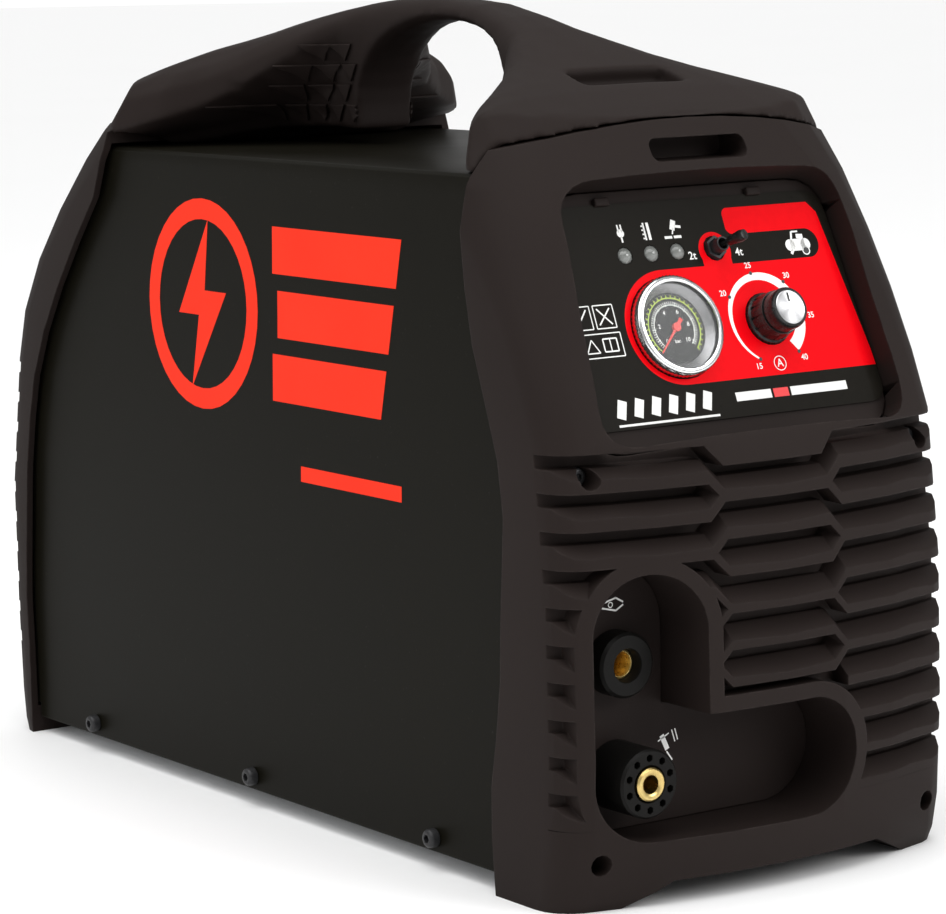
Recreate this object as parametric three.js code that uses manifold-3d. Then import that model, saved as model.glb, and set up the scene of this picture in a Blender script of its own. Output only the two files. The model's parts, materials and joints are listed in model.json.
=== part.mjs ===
// Portable plasma cutter with a built-in compressor, in millimetres, +Z up.
// The front face looks along -Y and the origin is under the middle of the unit, on the floor.
// Two moulded bezels and one moulded handle close a steel cover on a steel base tray.
import * as THREE from 'three';
import { mergeVertices } from 'three/addons/utils/BufferGeometryUtils.js';
import Module from 'manifold-3d';

// ---- driving dimensions ----
const HALF_LENGTH = 236.5;      // face of either bezel at its fullest, from the middle
const HALF_WIDTH = 98.5;        // bezel sides low down
const TOP_HALF_WIDTH = 95;      // bezel sides at the handle seam
const HANDLE_TOP = 348;
const CASE_TOP = 282.5;
const CASE_BOTTOM = 7.5;
const SHEET = 1.2;              // cover and tray sheet
const WALL = 3.2;               // moulded walls
const CLEARANCE = 0.35;         // between pieces that sit against each other
const BEYOND = 262;             // farther out along Y than any face of the machine
const OUTSIDE = 120;            // farther out along X than either side
const FRONT_CROWN = 290;        // radius of the front bezel's face in plan
const REAR_CROWN = 900;
const LEAN = THREE.MathUtils.degToRad(22.5);
const FASCIA_FOOT = 180;        // height where the fascia starts to lean back
const SLAT_PITCH = 14.45;
const SLAT_COUNT = 10;
const FIRST_SLAT = 163.3;       // lower edge of the top slat
const SLAT_DEPTH = 9.5;
const RECESS_X = -62;           // middle of both connectors
const RECESS_RADIUS = 24;
const RECESS_BACK = -203;       // front of the plate that holds the connectors
const EARTH_Z = 93.5;
const TORCH_Z = 49;
const PANEL_Y = -209.4;         // label plane at the height of the fascia's foot

const wasm = await Module();
wasm.setup();
const { Manifold, Mesh: SolidMesh } = wasm;
const { PI, cos, sin, abs, sign } = Math;

// ---- solids from three.js geometry ----
function solid(geometry) {
  const bare = geometry.index ? geometry.toNonIndexed() : geometry.clone();
  for (const name of Object.keys(bare.attributes)) {
    if (name !== 'position') bare.deleteAttribute(name);
  }
  const merged = mergeVertices(bare, 1e-4);
  const at = merged.attributes.position;
  const corners = merged.index.array;
  const faces = [];
  let volume = 0;
  for (let i = 0; i < corners.length; i += 3) {
    const face = [corners[i], corners[i + 1], corners[i + 2]];
    if (new Set(face).size < 3) continue;
    const [a, b, c] = face.map((k) => new THREE.Vector3().fromBufferAttribute(at, k));
    volume += a.dot(b.cross(c));
    faces.push(face);
  }
  return new Manifold(new SolidMesh({
    numProp: 3,
    vertProperties: Float32Array.from(at.array),
    triVerts: Uint32Array.from(faces.flatMap((face) => (volume > 0 ? face : face.reverse()))),
  }));
}

function geometryOf(piece) {
  const { vertProperties, triVerts } = piece.getMesh();
  const places = Float32Array.from(vertProperties);
  const indexed = new THREE.BufferGeometry();
  indexed.setAttribute('position', new THREE.BufferAttribute(places, 3));
  indexed.setIndex(new THREE.BufferAttribute(Uint32Array.from(triVerts), 1));
  const faceted = indexed.toNonIndexed();
  faceted.computeVertexNormals();
  return faceted;
}

const joined = (pieces) => pieces.reduce((sum, piece) => sum.add(piece));
const cut = (piece, tools) => tools.reduce((rest, tool) => rest.subtract(tool), piece);

// An outline in one plane, pushed along the third axis from one place to another.
const PUSH = {
  x: [[0, 1, 0], [0, 0, 1], [1, 0, 0]],
  y: [[1, 0, 0], [0, 0, 1], [0, -1, 0]],
  z: [[1, 0, 0], [0, 1, 0], [0, 0, 1]],
};
function push(axis, shape, from, to, curveSegments = 10) {
  const depth = to - from;
  const geometry = new THREE.ExtrudeGeometry(shape, { depth, bevelEnabled: false, curveSegments });
  const columns = PUSH[axis].map((column) => new THREE.Vector3(...column));
  geometry.applyMatrix4(new THREE.Matrix4().makeBasis(...columns));
  const start = axis === 'y' ? -to : from;
  geometry.translate(...columns[2].clone().multiplyScalar(start).toArray());
  return solid(geometry);
}

function outline(points) {
  return new THREE.Shape(points.map(([x, y]) => new THREE.Vector2(x, y)));
}

function roundedRect(x0, y0, x1, y1, radius) {
  const shape = new THREE.Shape();
  shape.absarc(x1 - radius, y0 + radius, radius, -PI / 2, 0);
  shape.absarc(x1 - radius, y1 - radius, radius, 0, PI / 2);
  shape.absarc(x0 + radius, y1 - radius, radius, PI / 2, PI);
  shape.absarc(x0 + radius, y0 + radius, radius, PI, 3 * PI / 2);
  return shape;
}

// A closed skin through loops of equal length; flat picks the two coordinates that fill the ends.
function loft(loops, flat) {
  const count = loops[0].length;
  const points = loops.flat().map((p) => new THREE.Vector3(...p));
  const faces = [];
  for (let i = 0; i + 1 < loops.length; i += 1) {
    for (let j = 0; j < count; j += 1) {
      const a = i * count + j;
      const b = i * count + (j + 1) % count;
      faces.push([a, b, b + count], [a, b + count, a + count]);
    }
  }
  const fill = (start) => {
    const loop = points.slice(start, start + count).map((p) => new THREE.Vector2(...flat(p)));
    const triangles = THREE.ShapeUtils.triangulateShape(loop, []);
    const { area } = THREE.ShapeUtils;
    const turn = triangles.reduce((sum, face) => sum + area(face.map((k) => loop[k])), 0);
    const follows = turn * area(loop) > 0;
    return triangles.map((face) => (follows ? face : [...face].reverse()).map((k) => start + k));
  };
  faces.push(...fill(0).map((face) => face.reverse()), ...fill((loops.length - 1) * count));
  const places = points.flatMap((p) => p.toArray());
  const geometry = new THREE.BufferGeometry();
  geometry.setAttribute('position', new THREE.Float32BufferAttribute(places, 3));
  geometry.setIndex(faces.flat());
  return solid(geometry);
}
const PLAN = (p) => [p.x, p.y];
const SIDE = (p) => [p.y, p.z];

// A turned piece about a line along Y: [radius, y] points from one end of the axis to the other.
function turned(profile, x = 0, z = 0, segments = 24) {
  const geometry = new THREE.LatheGeometry(profile.map(([r, h]) => new THREE.Vector2(r, h)), segments);
  geometry.translate(x, 0, z);
  return solid(geometry);
}

function box(x0, y0, z0, x1, y1, z1) {
  const geometry = new THREE.BoxGeometry(x1 - x0, y1 - y0, z1 - z0);
  geometry.translate((x0 + x1) / 2, (y0 + y1) / 2, (z0 + z1) / 2);
  return solid(geometry);
}

// A round bar along one axis, through the point given for its start.
function rod(axis, radius, x, y, z, length, segments = 20) {
  const geometry = new THREE.CylinderGeometry(radius, radius, length, segments);
  geometry.translate(0, length / 2, 0);
  if (axis === 'x') geometry.rotateZ(-PI / 2);
  if (axis === 'z') geometry.rotateX(PI / 2);
  geometry.translate(x, y, z);
  return solid(geometry);
}

// ---- scene graph ----
const machine = new THREE.Group();
const FINISHES = {
  moulding: { color: 0x2d2624, roughness: 0.6, metalness: 0 },
  paint: { color: 0x1c1c19, roughness: 0.35, metalness: 0.1 },
  label: { color: 0x21211e, roughness: 0.4, metalness: 0 },
  black: { color: 0x141414, roughness: 0.5, metalness: 0 },
  brass: { color: 0xb8944a, roughness: 0.3, metalness: 1 },
  steel: { color: 0x9a9c9e, roughness: 0.4, metalness: 1 },
  alloy: { color: 0xb9bbbd, roughness: 0.35, metalness: 1 },
  dial: { color: 0x1a1a1a, roughness: 0.5, metalness: 0 },
  red: { color: 0xe60012, roughness: 0.45, metalness: 0 },
  glass: { color: 0xe8eef0, roughness: 0.05, metalness: 0, transparent: true, opacity: 0.35 },
  lamp: { color: 0xa9aba8, roughness: 0.25, metalness: 0 },
  board: { color: 0x1f5a35, roughness: 0.6, metalness: 0 },
  copper: { color: 0xa7603a, roughness: 0.4, metalness: 0.8 },
  rubber: { color: 0x181818, roughness: 0.9, metalness: 0 },
};
function place(name, piece, finish, parent = machine) {
  const geometry = piece.isBufferGeometry ? piece : geometryOf(piece);
  const mesh = new THREE.Mesh(geometry, new THREE.MeshStandardMaterial({ ...FINISHES[finish] }));
  mesh.name = name;
  parent.add(mesh);
  return mesh;
}

// A smooth value read at a height from a few [height, value] knots.
function curveThrough(knots) {
  return (at) => {
    const last = knots.length - 1;
    if (at <= knots[0][0]) return knots[0][1];
    if (at >= knots[last][0]) return knots[last][1];
    const i = knots.findIndex(([h]) => h > at) - 1;
    const [h0, v0] = knots[i];
    const [h1, v1] = knots[i + 1];
    const slope = (a, b) => (knots[b][1] - knots[a][1]) / (knots[b][0] - knots[a][0]);
    const m0 = slope(Math.max(i - 1, 0), i + 1);
    const m1 = slope(i, Math.min(i + 2, last));
    const t = (at - h0) / (h1 - h0);
    const t2 = t * t;
    const t3 = t2 * t;
    return (2 * t3 - 3 * t2 + 1) * v0 + (t3 - 2 * t2 + t) * m0 * (h1 - h0)
      + (3 * t2 - 2 * t3) * v1 + (t3 - t2) * m1 * (h1 - h0);
  };
}

// ---- bezels: plan sections stacked from the floor to the handle seam ----
const halfWidthAt = curveThrough([
  [0, HALF_WIDTH], [70, HALF_WIDTH], [140, 98.2], [292, TOP_HALF_WIDTH], [340, 93],
]);
const cornerAt = curveThrough([
  [0, 17], [180, 17], [226, 21], [242, 26], [258, 35], [276, 44], [292, 56], [330, 62],
]);
const frontFaceAt = curveThrough([
  [0, 229], [6, 232], [20, 234.8], [50, HALF_LENGTH], [95, HALF_LENGTH], [140, 235], [FASCIA_FOOT, 230.5],
  [226, 211.5], [276, 190.8], [301, 176.5], [330, 158],
]);
const rearFaceAt = curveThrough([
  [0, 231], [6, 233.5], [30, 236], [50, HALF_LENGTH], [125, HALF_LENGTH], [150, 234], [184, 227.5],
  [208, 221], [226, 211], [258, 192], [276, 179], [292, 165], [301, 157], [330, 132],
]);
const frontRimAt = curveThrough([
  [0, 173], [38, 171], [79, 178], [119, 180], [151, 182], [182, 176], [204, 166], [227, 159], [250, 155],
  [273, 153], [291, 157], [303, 160],
]);
const rearRimAt = curveThrough([
  [0, 211], [40, 211], [64, 212], [103, 209], [135, 206], [172, 198], [201, 184], [225, 167], [245, 151],
  [266, 134], [291, 128], [303, 128],
]);

const END = {
  front: {
    side: -1, face: frontFaceAt, rim: frontRimAt, crown: FRONT_CROWN, steps: 6, wellFloor: 208, screw: 40,
  },
  rear: {
    side: 1, face: rearFaceAt, rim: rearRimAt, crown: REAR_CROWN, steps: 3, wellFloor: 222, screw: 28,
  },
};

const INNER_CORNER = 8;         // behind the slats, where the wall is thick

// One plan section: straight sides, two round corners and a crowned face.
function planSection(end, z, open, inset = 0, faceInset = inset) {
  const half = halfWidthAt(z) - inset;
  const corner = inset > 0 && z <= FASCIA_FOOT ? INNER_CORNER : cornerAt(z) - inset;
  const crown = end.crown - faceInset;
  const crownCentre = end.face(z) - faceInset - crown;
  const swing = Math.asin((half - corner) / (crown - corner));
  const cornerCentre = crownCentre + (crown - corner) * cos(swing);
  const loop = [[half, open]];
  const arc = (x, d, radius, from, to, steps) => {
    for (let i = 0; i <= steps; i += 1) {
      const angle = from + (to - from) * i / steps;
      loop.push([x + radius * cos(angle), d + radius * sin(angle)]);
    }
  };
  arc(half - corner, cornerCentre, corner, 0, PI / 2 - swing, 4);
  for (let i = 1; i < end.steps; i += 1) {
    const angle = swing - 2 * swing * i / end.steps;
    loop.push([crown * sin(angle), crownCentre + crown * cos(angle)]);
  }
  arc(corner - half, cornerCentre, corner, PI / 2 + swing, PI, 4);
  loop.push([-half, open]);
  return loop.map(([x, d]) => [x, end.side * d, z]);
}

const BEZEL_HEIGHT = 303;       // top of the stacked sections, over the seam
const BEZEL_OPEN = 80;          // stacked sections run this far in before the rim is trimmed
function bezelBody(end, levels, inset, faceInset) {
  return loft(levels.map((z) => planSection(end, z, BEZEL_OPEN, inset, faceInset)), PLAN);
}

// What lies on the machine's side of a bezel's rim, as seen from the side.
function behindRim(end) {
  const middle = end.side * 60;
  const above = 400;
  const points = [[middle, -10], [middle, above], [end.side * end.rim(above), above]];
  const steps = 14;
  for (let i = steps; i >= 0; i -= 1) {
    const z = BEZEL_HEIGHT * i / steps;
    points.push([end.side * end.rim(z), z]);
  }
  points.push([end.side * end.rim(0), -10]);
  return push('x', outline(points), -OUTSIDE, OUTSIDE);
}

const BODY_LEVELS = [0, 6, 20, 60, 120, FASCIA_FOOT, 203, 228, 252, 276, BEZEL_HEIGHT];
const SEAM_GAP = 0.6;           // open line between the handle and either bezel
const SEAM_MIDDLE = 301;
const SEAM_DROP = 11.4;         // how much lower the seam is at the sides
const SEAM_SIDE = 91;
const seamAt = (x) => SEAM_MIDDLE - SEAM_DROP * (x / SEAM_SIDE) ** 2;

// Everything above the seam between a bezel and the handle, raised by a gap.
function aboveSeam(end, gap) {
  const steps = 12;
  const reach = 105;
  const above = 420;
  const points = [[-reach, above]];
  for (let i = 0; i <= steps; i += 1) {
    const x = -reach + 2 * reach * i / steps;
    points.push([x, seamAt(x) + gap]);
  }
  points.push([reach, above]);
  const far = end.side * BEYOND;
  const near = end.side * 100;
  return push('y', outline(points.reverse()), Math.min(near, far), Math.max(near, far));
}

// The edge under a bezel: two feet with a shallow arch between them.
const ARCH_UNDER = { wide: 72, narrow: 52, rise: 9.5 };
function footArch() {
  const { wide, narrow, rise } = ARCH_UNDER;
  return outline([[-wide, -5], [wide, -5], [wide, 0], [narrow, rise], [-narrow, rise], [-wide, 0]]);
}

// ---- slats: wedges that run across the face, each hung from its lower edge ----
const slatZ = (row) => FIRST_SLAT - SLAT_PITCH * row;
const SLAT_PROFILE = [[14, 0.5], [-1.5, 0], [-1.5, 2.4], [7.2, 9.4], [14, 9.7]];

function slat(end, path) {
  const loops = path.map(([x, z]) => {
    const tip = end.face(z) - x * x / (2 * end.crown);
    return SLAT_PROFILE.map(([depth, rise]) => [x, end.side * (tip - depth), z + rise]);
  });
  return loft(loops, SIDE);
}

// The space that the slats stand in: from the face back to the wall behind them.
function slatSpace(end, border) {
  const levels = [20, 60, 120, 190];
  const reach = 116;
  const inside = 100;
  const core = loft(levels.map((z) => {
    const loop = [[reach, inside]];
    for (let i = 0; i < end.steps; i += 1) {
      const x = reach - 2 * reach * i / (end.steps - 1);
      loop.push([x, end.face(z) - SLAT_DEPTH - x * x / (2 * end.crown)]);
    }
    loop.push([-reach, inside]);
    return loop.map(([x, d]) => [x, end.side * d, z]);
  }), PLAN);
  const near = end.side * 150;
  const far = end.side * BEYOND;
  return push('y', border, Math.min(near, far), Math.max(near, far)).subtract(core);
}

// Three columns of slats: the middle one hangs half a pitch lower, and its ends fork to both
// neighbours.
const LEFT_END = -34.5;
const MIDDLE_START = -27.5;
const MIDDLE_END = 24;
const RIGHT_START = 31;
const SLAT_REACH = 114;
const FORKS = [           // rows that a left, a middle and a right run join, one slat each
  [0, 0, 0], [1, 0, 1], [2, 1, 2], [2, 2, 2], [3, 3, 3], [4, 3, 4], [5, 4, 5], [5, 5, 5],
];
const FORKED_ROWS = 6;
const LIP_DROP = 1.7;           // the slats' space ends this far under the fascia's foot

function frontSlats() {
  const half = SLAT_PITCH / 2;
  const leftRun = (row) => [-SLAT_REACH, -74, LEFT_END].map((x) => [x, slatZ(row)]);
  const middleRun = (row) => [MIDDLE_START, MIDDLE_END].map((x) => [x, slatZ(row) - half]);
  const rightRun = (row) => [RIGHT_START, 72, SLAT_REACH].map((x) => [x, slatZ(row)]);
  const forked = FORKS.map(([left, middle, right]) => {
    return slat(END.front, [...leftRun(left), ...middleRun(middle), ...rightRun(right)]);
  });
  const plain = [];
  for (let row = FORKED_ROWS; row < SLAT_COUNT; row += 1) {
    plain.push(slat(END.front, leftRun(row)), slat(END.front, rightRun(row)));
  }
  const low = slatZ(SLAT_COUNT - 1);
  const lip = FASCIA_FOOT - LIP_DROP;
  const dip = lip - 8.3;
  const border = outline([
    [-OUTSIDE, low], [OUTSIDE, low], [OUTSIDE, lip], [28, lip],
    [21.5, dip], [-27.5, dip], [-35.5, lip], [-OUTSIDE, lip],
  ]);
  return cut(slatSpace(END.front, border), [...forked, ...plain]);
}

// ---- recess for the two connectors: a tall round-ended slot meeting a wide one ----
function roundSlot(x0, z0, x1, z1, radius) {
  return roundedRect(x0 - radius, z0 - radius, x1 + radius, z1 + radius, radius);
}
const RECESS_TOP = 107.2;
const RECESS_FRAME = 6.3;       // plain border between the recess and the slats
const RECESS_LOW = 50.5;
const RECESS_RIGHT = 12;

function recessBlock(grow, from, to) {
  const radius = RECESS_RADIUS + grow;
  const tall = push('y', roundSlot(RECESS_X, RECESS_LOW, RECESS_X, RECESS_TOP, radius), from, to, 6);
  const wide = push('y', roundSlot(RECESS_X, RECESS_LOW, RECESS_RIGHT, RECESS_LOW, radius), from, to, 6);
  return tall.add(wide);
}

// ---- control panel: a leaning frame of reference, x across, z up the slope, -y out of the face ----
const panelFrame = new THREE.Group();
panelFrame.position.set(0, PANEL_Y, FASCIA_FOOT);
panelFrame.rotation.x = -LEAN;
machine.add(panelFrame);
panelFrame.updateMatrixWorld(true);

function pocketShape(grow) {
  return taperedPlate(76.5 + grow, 69.5 + grow, -5.5 - grow, 101.5 + grow, 16);
}

// A four-sided plate, narrower at its top, with its corners rounded off.
function taperedPlate(low, high, bottom, top, round) {
  const shape = new THREE.Shape();
  shape.moveTo(-low + round, bottom);
  shape.lineTo(low - round, bottom);
  shape.quadraticCurveTo(low, bottom, low - 1, bottom + round);
  shape.lineTo(high + 1, top - round);
  shape.quadraticCurveTo(high, top, high - round, top);
  shape.lineTo(-high + round, top);
  shape.quadraticCurveTo(-high, top, -high - 1, top - round);
  shape.lineTo(-low + 1, bottom + round);
  shape.quadraticCurveTo(-low, bottom, -low + round, bottom);
  return shape;
}
const leaning = (piece) => solid(geometryOf(piece).applyMatrix4(panelFrame.matrixWorld));
const PANEL_PLATE = 2.4;

// ---- screw wells at the corners of both bezels ----
const WELL_X = 83;
const WELL_HEIGHTS = [19.4, 169];
const WELL_RADIUS = 4.25;
const BOSS_RADIUS = 7.5;
const BOSS_FOOT = 188;
const SCREW_HOLE = 2.3;
const PLATE_SEAT = RECESS_BACK + 3.4;
function wellRods(end, radius, from, to) {
  const rods = [];
  for (const x of [-WELL_X, WELL_X]) {
    for (const z of WELL_HEIGHTS) {
      rods.push(rod('y', radius, x, Math.min(end.side * from, end.side * to), z, abs(to - from), 12));
    }
  }
  return rods;
}

function bezelShell(end, keepBlocks) {
  const outer = bezelBody(end, BODY_LEVELS, 0, 0);
  const cavityLevels = [12.5, 60, 120, FASCIA_FOOT, 203, 228, 252, 276, 284];
  const cavity = loft(cavityLevels.map((z) => {
    const faceInset = z < 190 ? SLAT_DEPTH + 3 : 4.5;
    return planSection(end, z, BEZEL_OPEN - 5, WALL, faceInset);
  }), PLAN);
  const sillSpan = [end.side * 70, end.side * 193];
  const sillHalf = 95.2;
  const sill = box(-sillHalf, Math.min(...sillSpan), -1, sillHalf, Math.max(...sillSpan), 40);
  const hollow = cut(cavity.add(sill), keepBlocks);
  return cut(outer, [aboveSeam(end, 0), behindRim(end), hollow]);
}

function frontBezel() {
  const end = END.front;
  const pocket = leaning(push('y', pocketShape(0), -70, PANEL_PLATE + CLEARANCE, 6));
  const pocketWalls = leaning(push('y', pocketShape(WALL), -60, PANEL_PLATE + CLEARANCE, 6));
  const keep = [
    pocketWalls,
    recessBlock(WALL, -BEYOND, PLATE_SEAT),
    ...wellRods(end, BOSS_RADIUS, BEYOND, BOSS_FOOT),
  ];
  const strapSlot = push('y', roundedRect(-24, 284.6, 24, 293.6, 3.5), -205, -165, 4);
  const space = frontSlats().subtract(recessBlock(RECESS_FRAME, -BEYOND, -150));
  const arch = push('y', footArch(), -BEYOND, -100);
  return cut(bezelShell(end, keep), [
    arch, space, pocket, recessBlock(0, -BEYOND, PLATE_SEAT + 0.6), strapSlot,
    ...wellRods(end, WELL_RADIUS, BEYOND, end.wellFloor),
    ...wellRods(end, SCREW_HOLE, BEYOND, BOSS_FOOT - 5),
  ]);
}

// ---- rear bezel: straight slats over the fan, and a flat bay above them for the fittings ----
const FAN_Z = 105;
const FAN_BORE = 56.5;
const BAY_FLOOR = 186;          // rear fittings stand on a plate this far back
const BAY = { x: 70, low: 187, high: 262, round: 12 };

function bayBlock(grow, from, to) {
  const shape = roundedRect(
    -BAY.x - grow, BAY.low - grow, BAY.x + grow, BAY.high + grow, BAY.round + grow,
  );
  return push('y', shape, from, to, 5);
}

function rearSlats() {
  const run = [-SLAT_REACH, -50, 50, SLAT_REACH];
  const slats = [];
  for (let row = 0; row < SLAT_COUNT; row += 1) {
    slats.push(slat(END.rear, run.map((x) => [x, slatZ(row)])));
  }
  const lip = FASCIA_FOOT - LIP_DROP;
  const low = slatZ(SLAT_COUNT - 1);
  const border = outline([[-OUTSIDE, low], [OUTSIDE, low], [OUTSIDE, lip], [-OUTSIDE, lip]]);
  return cut(slatSpace(END.rear, border), slats);
}

// Air slots through the wall, one under each slat, as long as the fan's bore is wide there.
function fanSlots() {
  const slots = [];
  for (let row = 0; row < SLAT_COUNT; row += 1) {
    const top = slatZ(row) - 0.4;
    const half = Math.sqrt(Math.max(0, (FAN_BORE - 4) ** 2 - (top - 2 - FAN_Z) ** 2));
    if (half > 12) slots.push(box(-half, 205, top - 4, half, BEYOND, top));
  }
  return joined(slots);
}

function rearBezel() {
  const end = END.rear;
  const bosses = wellRods(end, BOSS_RADIUS, BEYOND, BOSS_FOOT + 4);
  const arch = push('y', footArch(), 100, BEYOND);
  return cut(bezelShell(end, [bayBlock(WALL, BAY_FLOOR - 3, BEYOND), ...bosses]), [
    arch, rearSlats(), fanSlots(), bayBlock(0, BAY_FLOOR - 3, BEYOND),
    ...wellRods(end, WELL_RADIUS, BEYOND, end.wellFloor),
    ...wellRods(end, SCREW_HOLE, BEYOND, BOSS_FOOT - 5),
  ]);
}

// ---- handle: one moulding, arched sections along the machine joined over a finger gap ----
const crestAt = curveThrough([
  [-200, 291], [-176, 301.5], [-150, 312], [-129, 319], [-100, 329.5], [-70, 339.5], [-40, 346],
  [-12, HANDLE_TOP], [20, 347], [48, 343.5], [87, 334], [120, 322], [140, 313], [158, 302], [185, 282],
]);
const skirtAt = curveThrough([
  [-200, 84], [-165, 92], [-150, 90], [-138, 80], [-124, 63], [-110, 46], [-95, 33], [-83, 23],
  [-68, 18], [-45, 15], [-12, 14], [15, 14.5], [34, 15.5], [45, 19], [52, 27], [62, 38], [72, 46],
  [84, 54], [95, 68], [106, 84], [128, 93.5], [145, 95], [185, 88],
]);
const widestAt = curveThrough([
  [-200, 279], [-150, 288], [-110, 293], [-83, 302], [-60, 316], [-12, 328], [20, 330], [40, 333],
  [52, 330], [62, 322], [72, 315], [84, 307], [95, 299], [106, 294], [128, 289], [145, 287], [185, 279],
]);
const REAR_LEG = 34;            // behind here the flanks are scooped in to a narrow web
const rearWebAt = curveThrough([
  [REAR_LEG, 15.2], [45, 14], [58, 14], [77, 16], [90, 18.5], [98, 24], [104, 36], [112, 48],
  [120, 58], [128, 68], [136, 78], [146, 88], [185, 86],
]);
const webAt = (y) => (y < REAR_LEG ? skirtAt(y) : Math.min(rearWebAt(y), skirtAt(y)));
const squareAt = curveThrough([
  [-200, 0.6], [-140, 0.55], [-83, 0.45], [-12, 0.6], [38, 0.7], [60, 0.8], [140, 0.62],
]);
const footAt = curveThrough([
  [-200, 276], [-150, 282], [-83, 283], [38, 289], [58, 290], [90, 289.5], [100, 288.5], [110, 285],
  [120, 282.6], [185, 276],
]);
const HANDLE_STATIONS = [
  -196, -180, -165, -150, -138, -124, -110, -96, -83, -68, -45, -12, 15, REAR_LEG, 41, 46, 52, 62,
  72, 84, 94, 103, 112, 120, 128, 137, 147, 160, 182,
];
const SCOOP = { across: 0.22, up: 0.5 };

// A section across the handle: a rounded top over its widest line, and scooped flanks down to a
// narrower foot.
function archSection(y, inset, drop) {
  const half = skirtAt(y) - inset;
  const web = webAt(y) - inset;
  const foot = footAt(y) - drop;
  const widest = widestAt(y) - inset;
  const rise = crestAt(y) - inset - widest;
  const power = squareAt(y);
  const scoop = [[web, foot], [web + (half - web) * SCOOP.across, foot + (widest - foot) * SCOOP.up]];
  const steps = 12;
  const crown = [];
  for (let i = 0; i <= steps; i += 1) {
    const angle = PI * i / steps;
    const across = sign(cos(angle)) * abs(cos(angle)) ** power;
    crown.push([half * (abs(across) < 1e-6 ? 0 : across), widest + rise * abs(sin(angle)) ** power]);
  }
  const mirrored = scoop.map(([x, z]) => [-x, z]).reverse();
  return [...scoop, ...crown, ...mirrored].map(([x, z]) => [x, y, z]);
}
const ARCH = (p) => [p.x, p.z];

// The finger gap: an arched opening whose top edges are rounded off towards both sides.
const GAP = { middle: -21, half: 63, spring: 300, rise: 37.5 };
function fingerGap() {
  const roundTop = [[0, 0], [9, 0.8], [13.4, 3.6], [22, 9], [110, 9]];
  const edges = [...roundTop.slice(1).map(([x, lift]) => [-x, lift]).reverse(), ...roundTop];
  const floor = 262;
  const steps = 16;
  const loops = edges.map(([x, lift]) => {
    const loop = [[x, GAP.middle + GAP.half, floor], [x, GAP.middle - GAP.half, floor]];
    for (let i = 0; i <= steps; i += 1) {
      const angle = PI - PI * i / steps;
      loop.push([x, GAP.middle + GAP.half * cos(angle), GAP.spring + (GAP.rise + lift) * sin(angle)]);
    }
    return loop;
  });
  return loft(loops, SIDE);
}

// A pocket in the front hood for the end of a carrying strap, cut square to the hood's slope.
const STRAP_POCKET = {
  y: -135, z: 316.5, slope: THREE.MathUtils.degToRad(19), half: 25, halfHeight: 8, depth: 7,
};
function strapPocket() {
  const { half, halfHeight, depth } = STRAP_POCKET;
  const pocket = geometryOf(push('z', roundedRect(-half, -halfHeight, half, halfHeight, 3), -depth, 20, 3));
  pocket.rotateX(STRAP_POCKET.slope);
  pocket.translate(0, STRAP_POCKET.y, STRAP_POCKET.z);
  return solid(pocket);
}

// Grip on the scooped flanks: rows of three-sided dimples, all sunk to the same depth.
const DIMPLE_DEPTH = 1.6;
const DIMPLE_ROWS = [[295, [64, 78, 92]], [307, [57, 69, 81]], [318, [50, 61]]];
function gripDimples() {
  const half = 4.95;
  const point = 4.5;
  const base = 3.6;
  const prisms = DIMPLE_ROWS.flatMap(([z, places]) => places.map((y) => {
    const triangle = outline([[y, z - point], [y + half, z + base], [y - half, z + base]]);
    return push('x', triangle, -90, 90);
  }));
  const core = loft(HANDLE_STATIONS.map((y) => archSection(y, DIMPLE_DEPTH, 0)), ARCH);
  return joined(prisms).subtract(core);
}

function hollowUnder(stations) {
  return loft(stations.map((y) => archSection(y, WALL + 0.8, 40)), ARCH);
}

function carryHandle() {
  const body = loft(HANDLE_STATIONS.map((y) => archSection(y, 0, 0)), ARCH);
  const levels = [270, 284, 292, 301, 312, 330, 352];
  const between = (inset) => joined([END.front, END.rear].map((end) => {
    return loft(levels.map((z) => planSection(end, z, -8, inset)), PLAN);
  }));
  const aboveBezels = [END.front, END.rear].map((end) => aboveSeam(end, SEAM_GAP));
  const rims = [265, 275, 283, 291, 303, 360];
  const betweenRims = push('x', outline([
    ...rims.map((z) => [END.rear.rim(z) - SEAM_GAP, z]),
    ...rims.reverse().map((z) => [SEAM_GAP - END.front.rim(z), z]),
  ]), -100, 100);
  const trimmed = body.intersect(between(0)).intersect(joined([...aboveBezels, betweenRims]));
  const pocketBlock = box(-28, -148, 250, 28, -122, 330);
  return cut(trimmed, [
    fingerGap(), box(-100, -200, 250, 100, 200, CASE_TOP + CLEARANCE), strapPocket(), gripDimples(),
    hollowUnder([-158, -140, -124, -108, -94]).intersect(between(WALL + 1)).subtract(pocketBlock),
    hollowUnder([124, 132, 140, 150]).intersect(between(WALL + 1)),
  ]);
}

// ---- cover: one bent sheet, two leaning sides and a flat top ----
const COVER = { low: 94, crease: 93, creaseZ: 135, high: 89.3 };
function coverSection(inset) {
  const shape = new THREE.Shape();
  const low = COVER.low - inset;
  const crease = COVER.crease - inset;
  const high = COVER.high - inset;
  const top = CASE_TOP - inset;
  const bend = 3.5 - inset;
  shape.moveTo(-low, CASE_BOTTOM);
  shape.lineTo(low, CASE_BOTTOM);
  shape.lineTo(crease, COVER.creaseZ);
  shape.lineTo(high, top - bend);
  shape.quadraticCurveTo(high, top, high - bend, top);
  shape.lineTo(-high + bend, top);
  shape.quadraticCurveTo(-high, top, -high, top - bend);
  shape.lineTo(-crease, COVER.creaseZ);
  return shape;
}
const FRONT_EDGE = [
  [-154.2, 290], [-154.2, 273], [-160, 258], [-172, 238], [-178, 226], [-187, 200], [-188, 180], [-188, 14],
  [-170.5, 14], [-170.5, 0],
];
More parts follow.
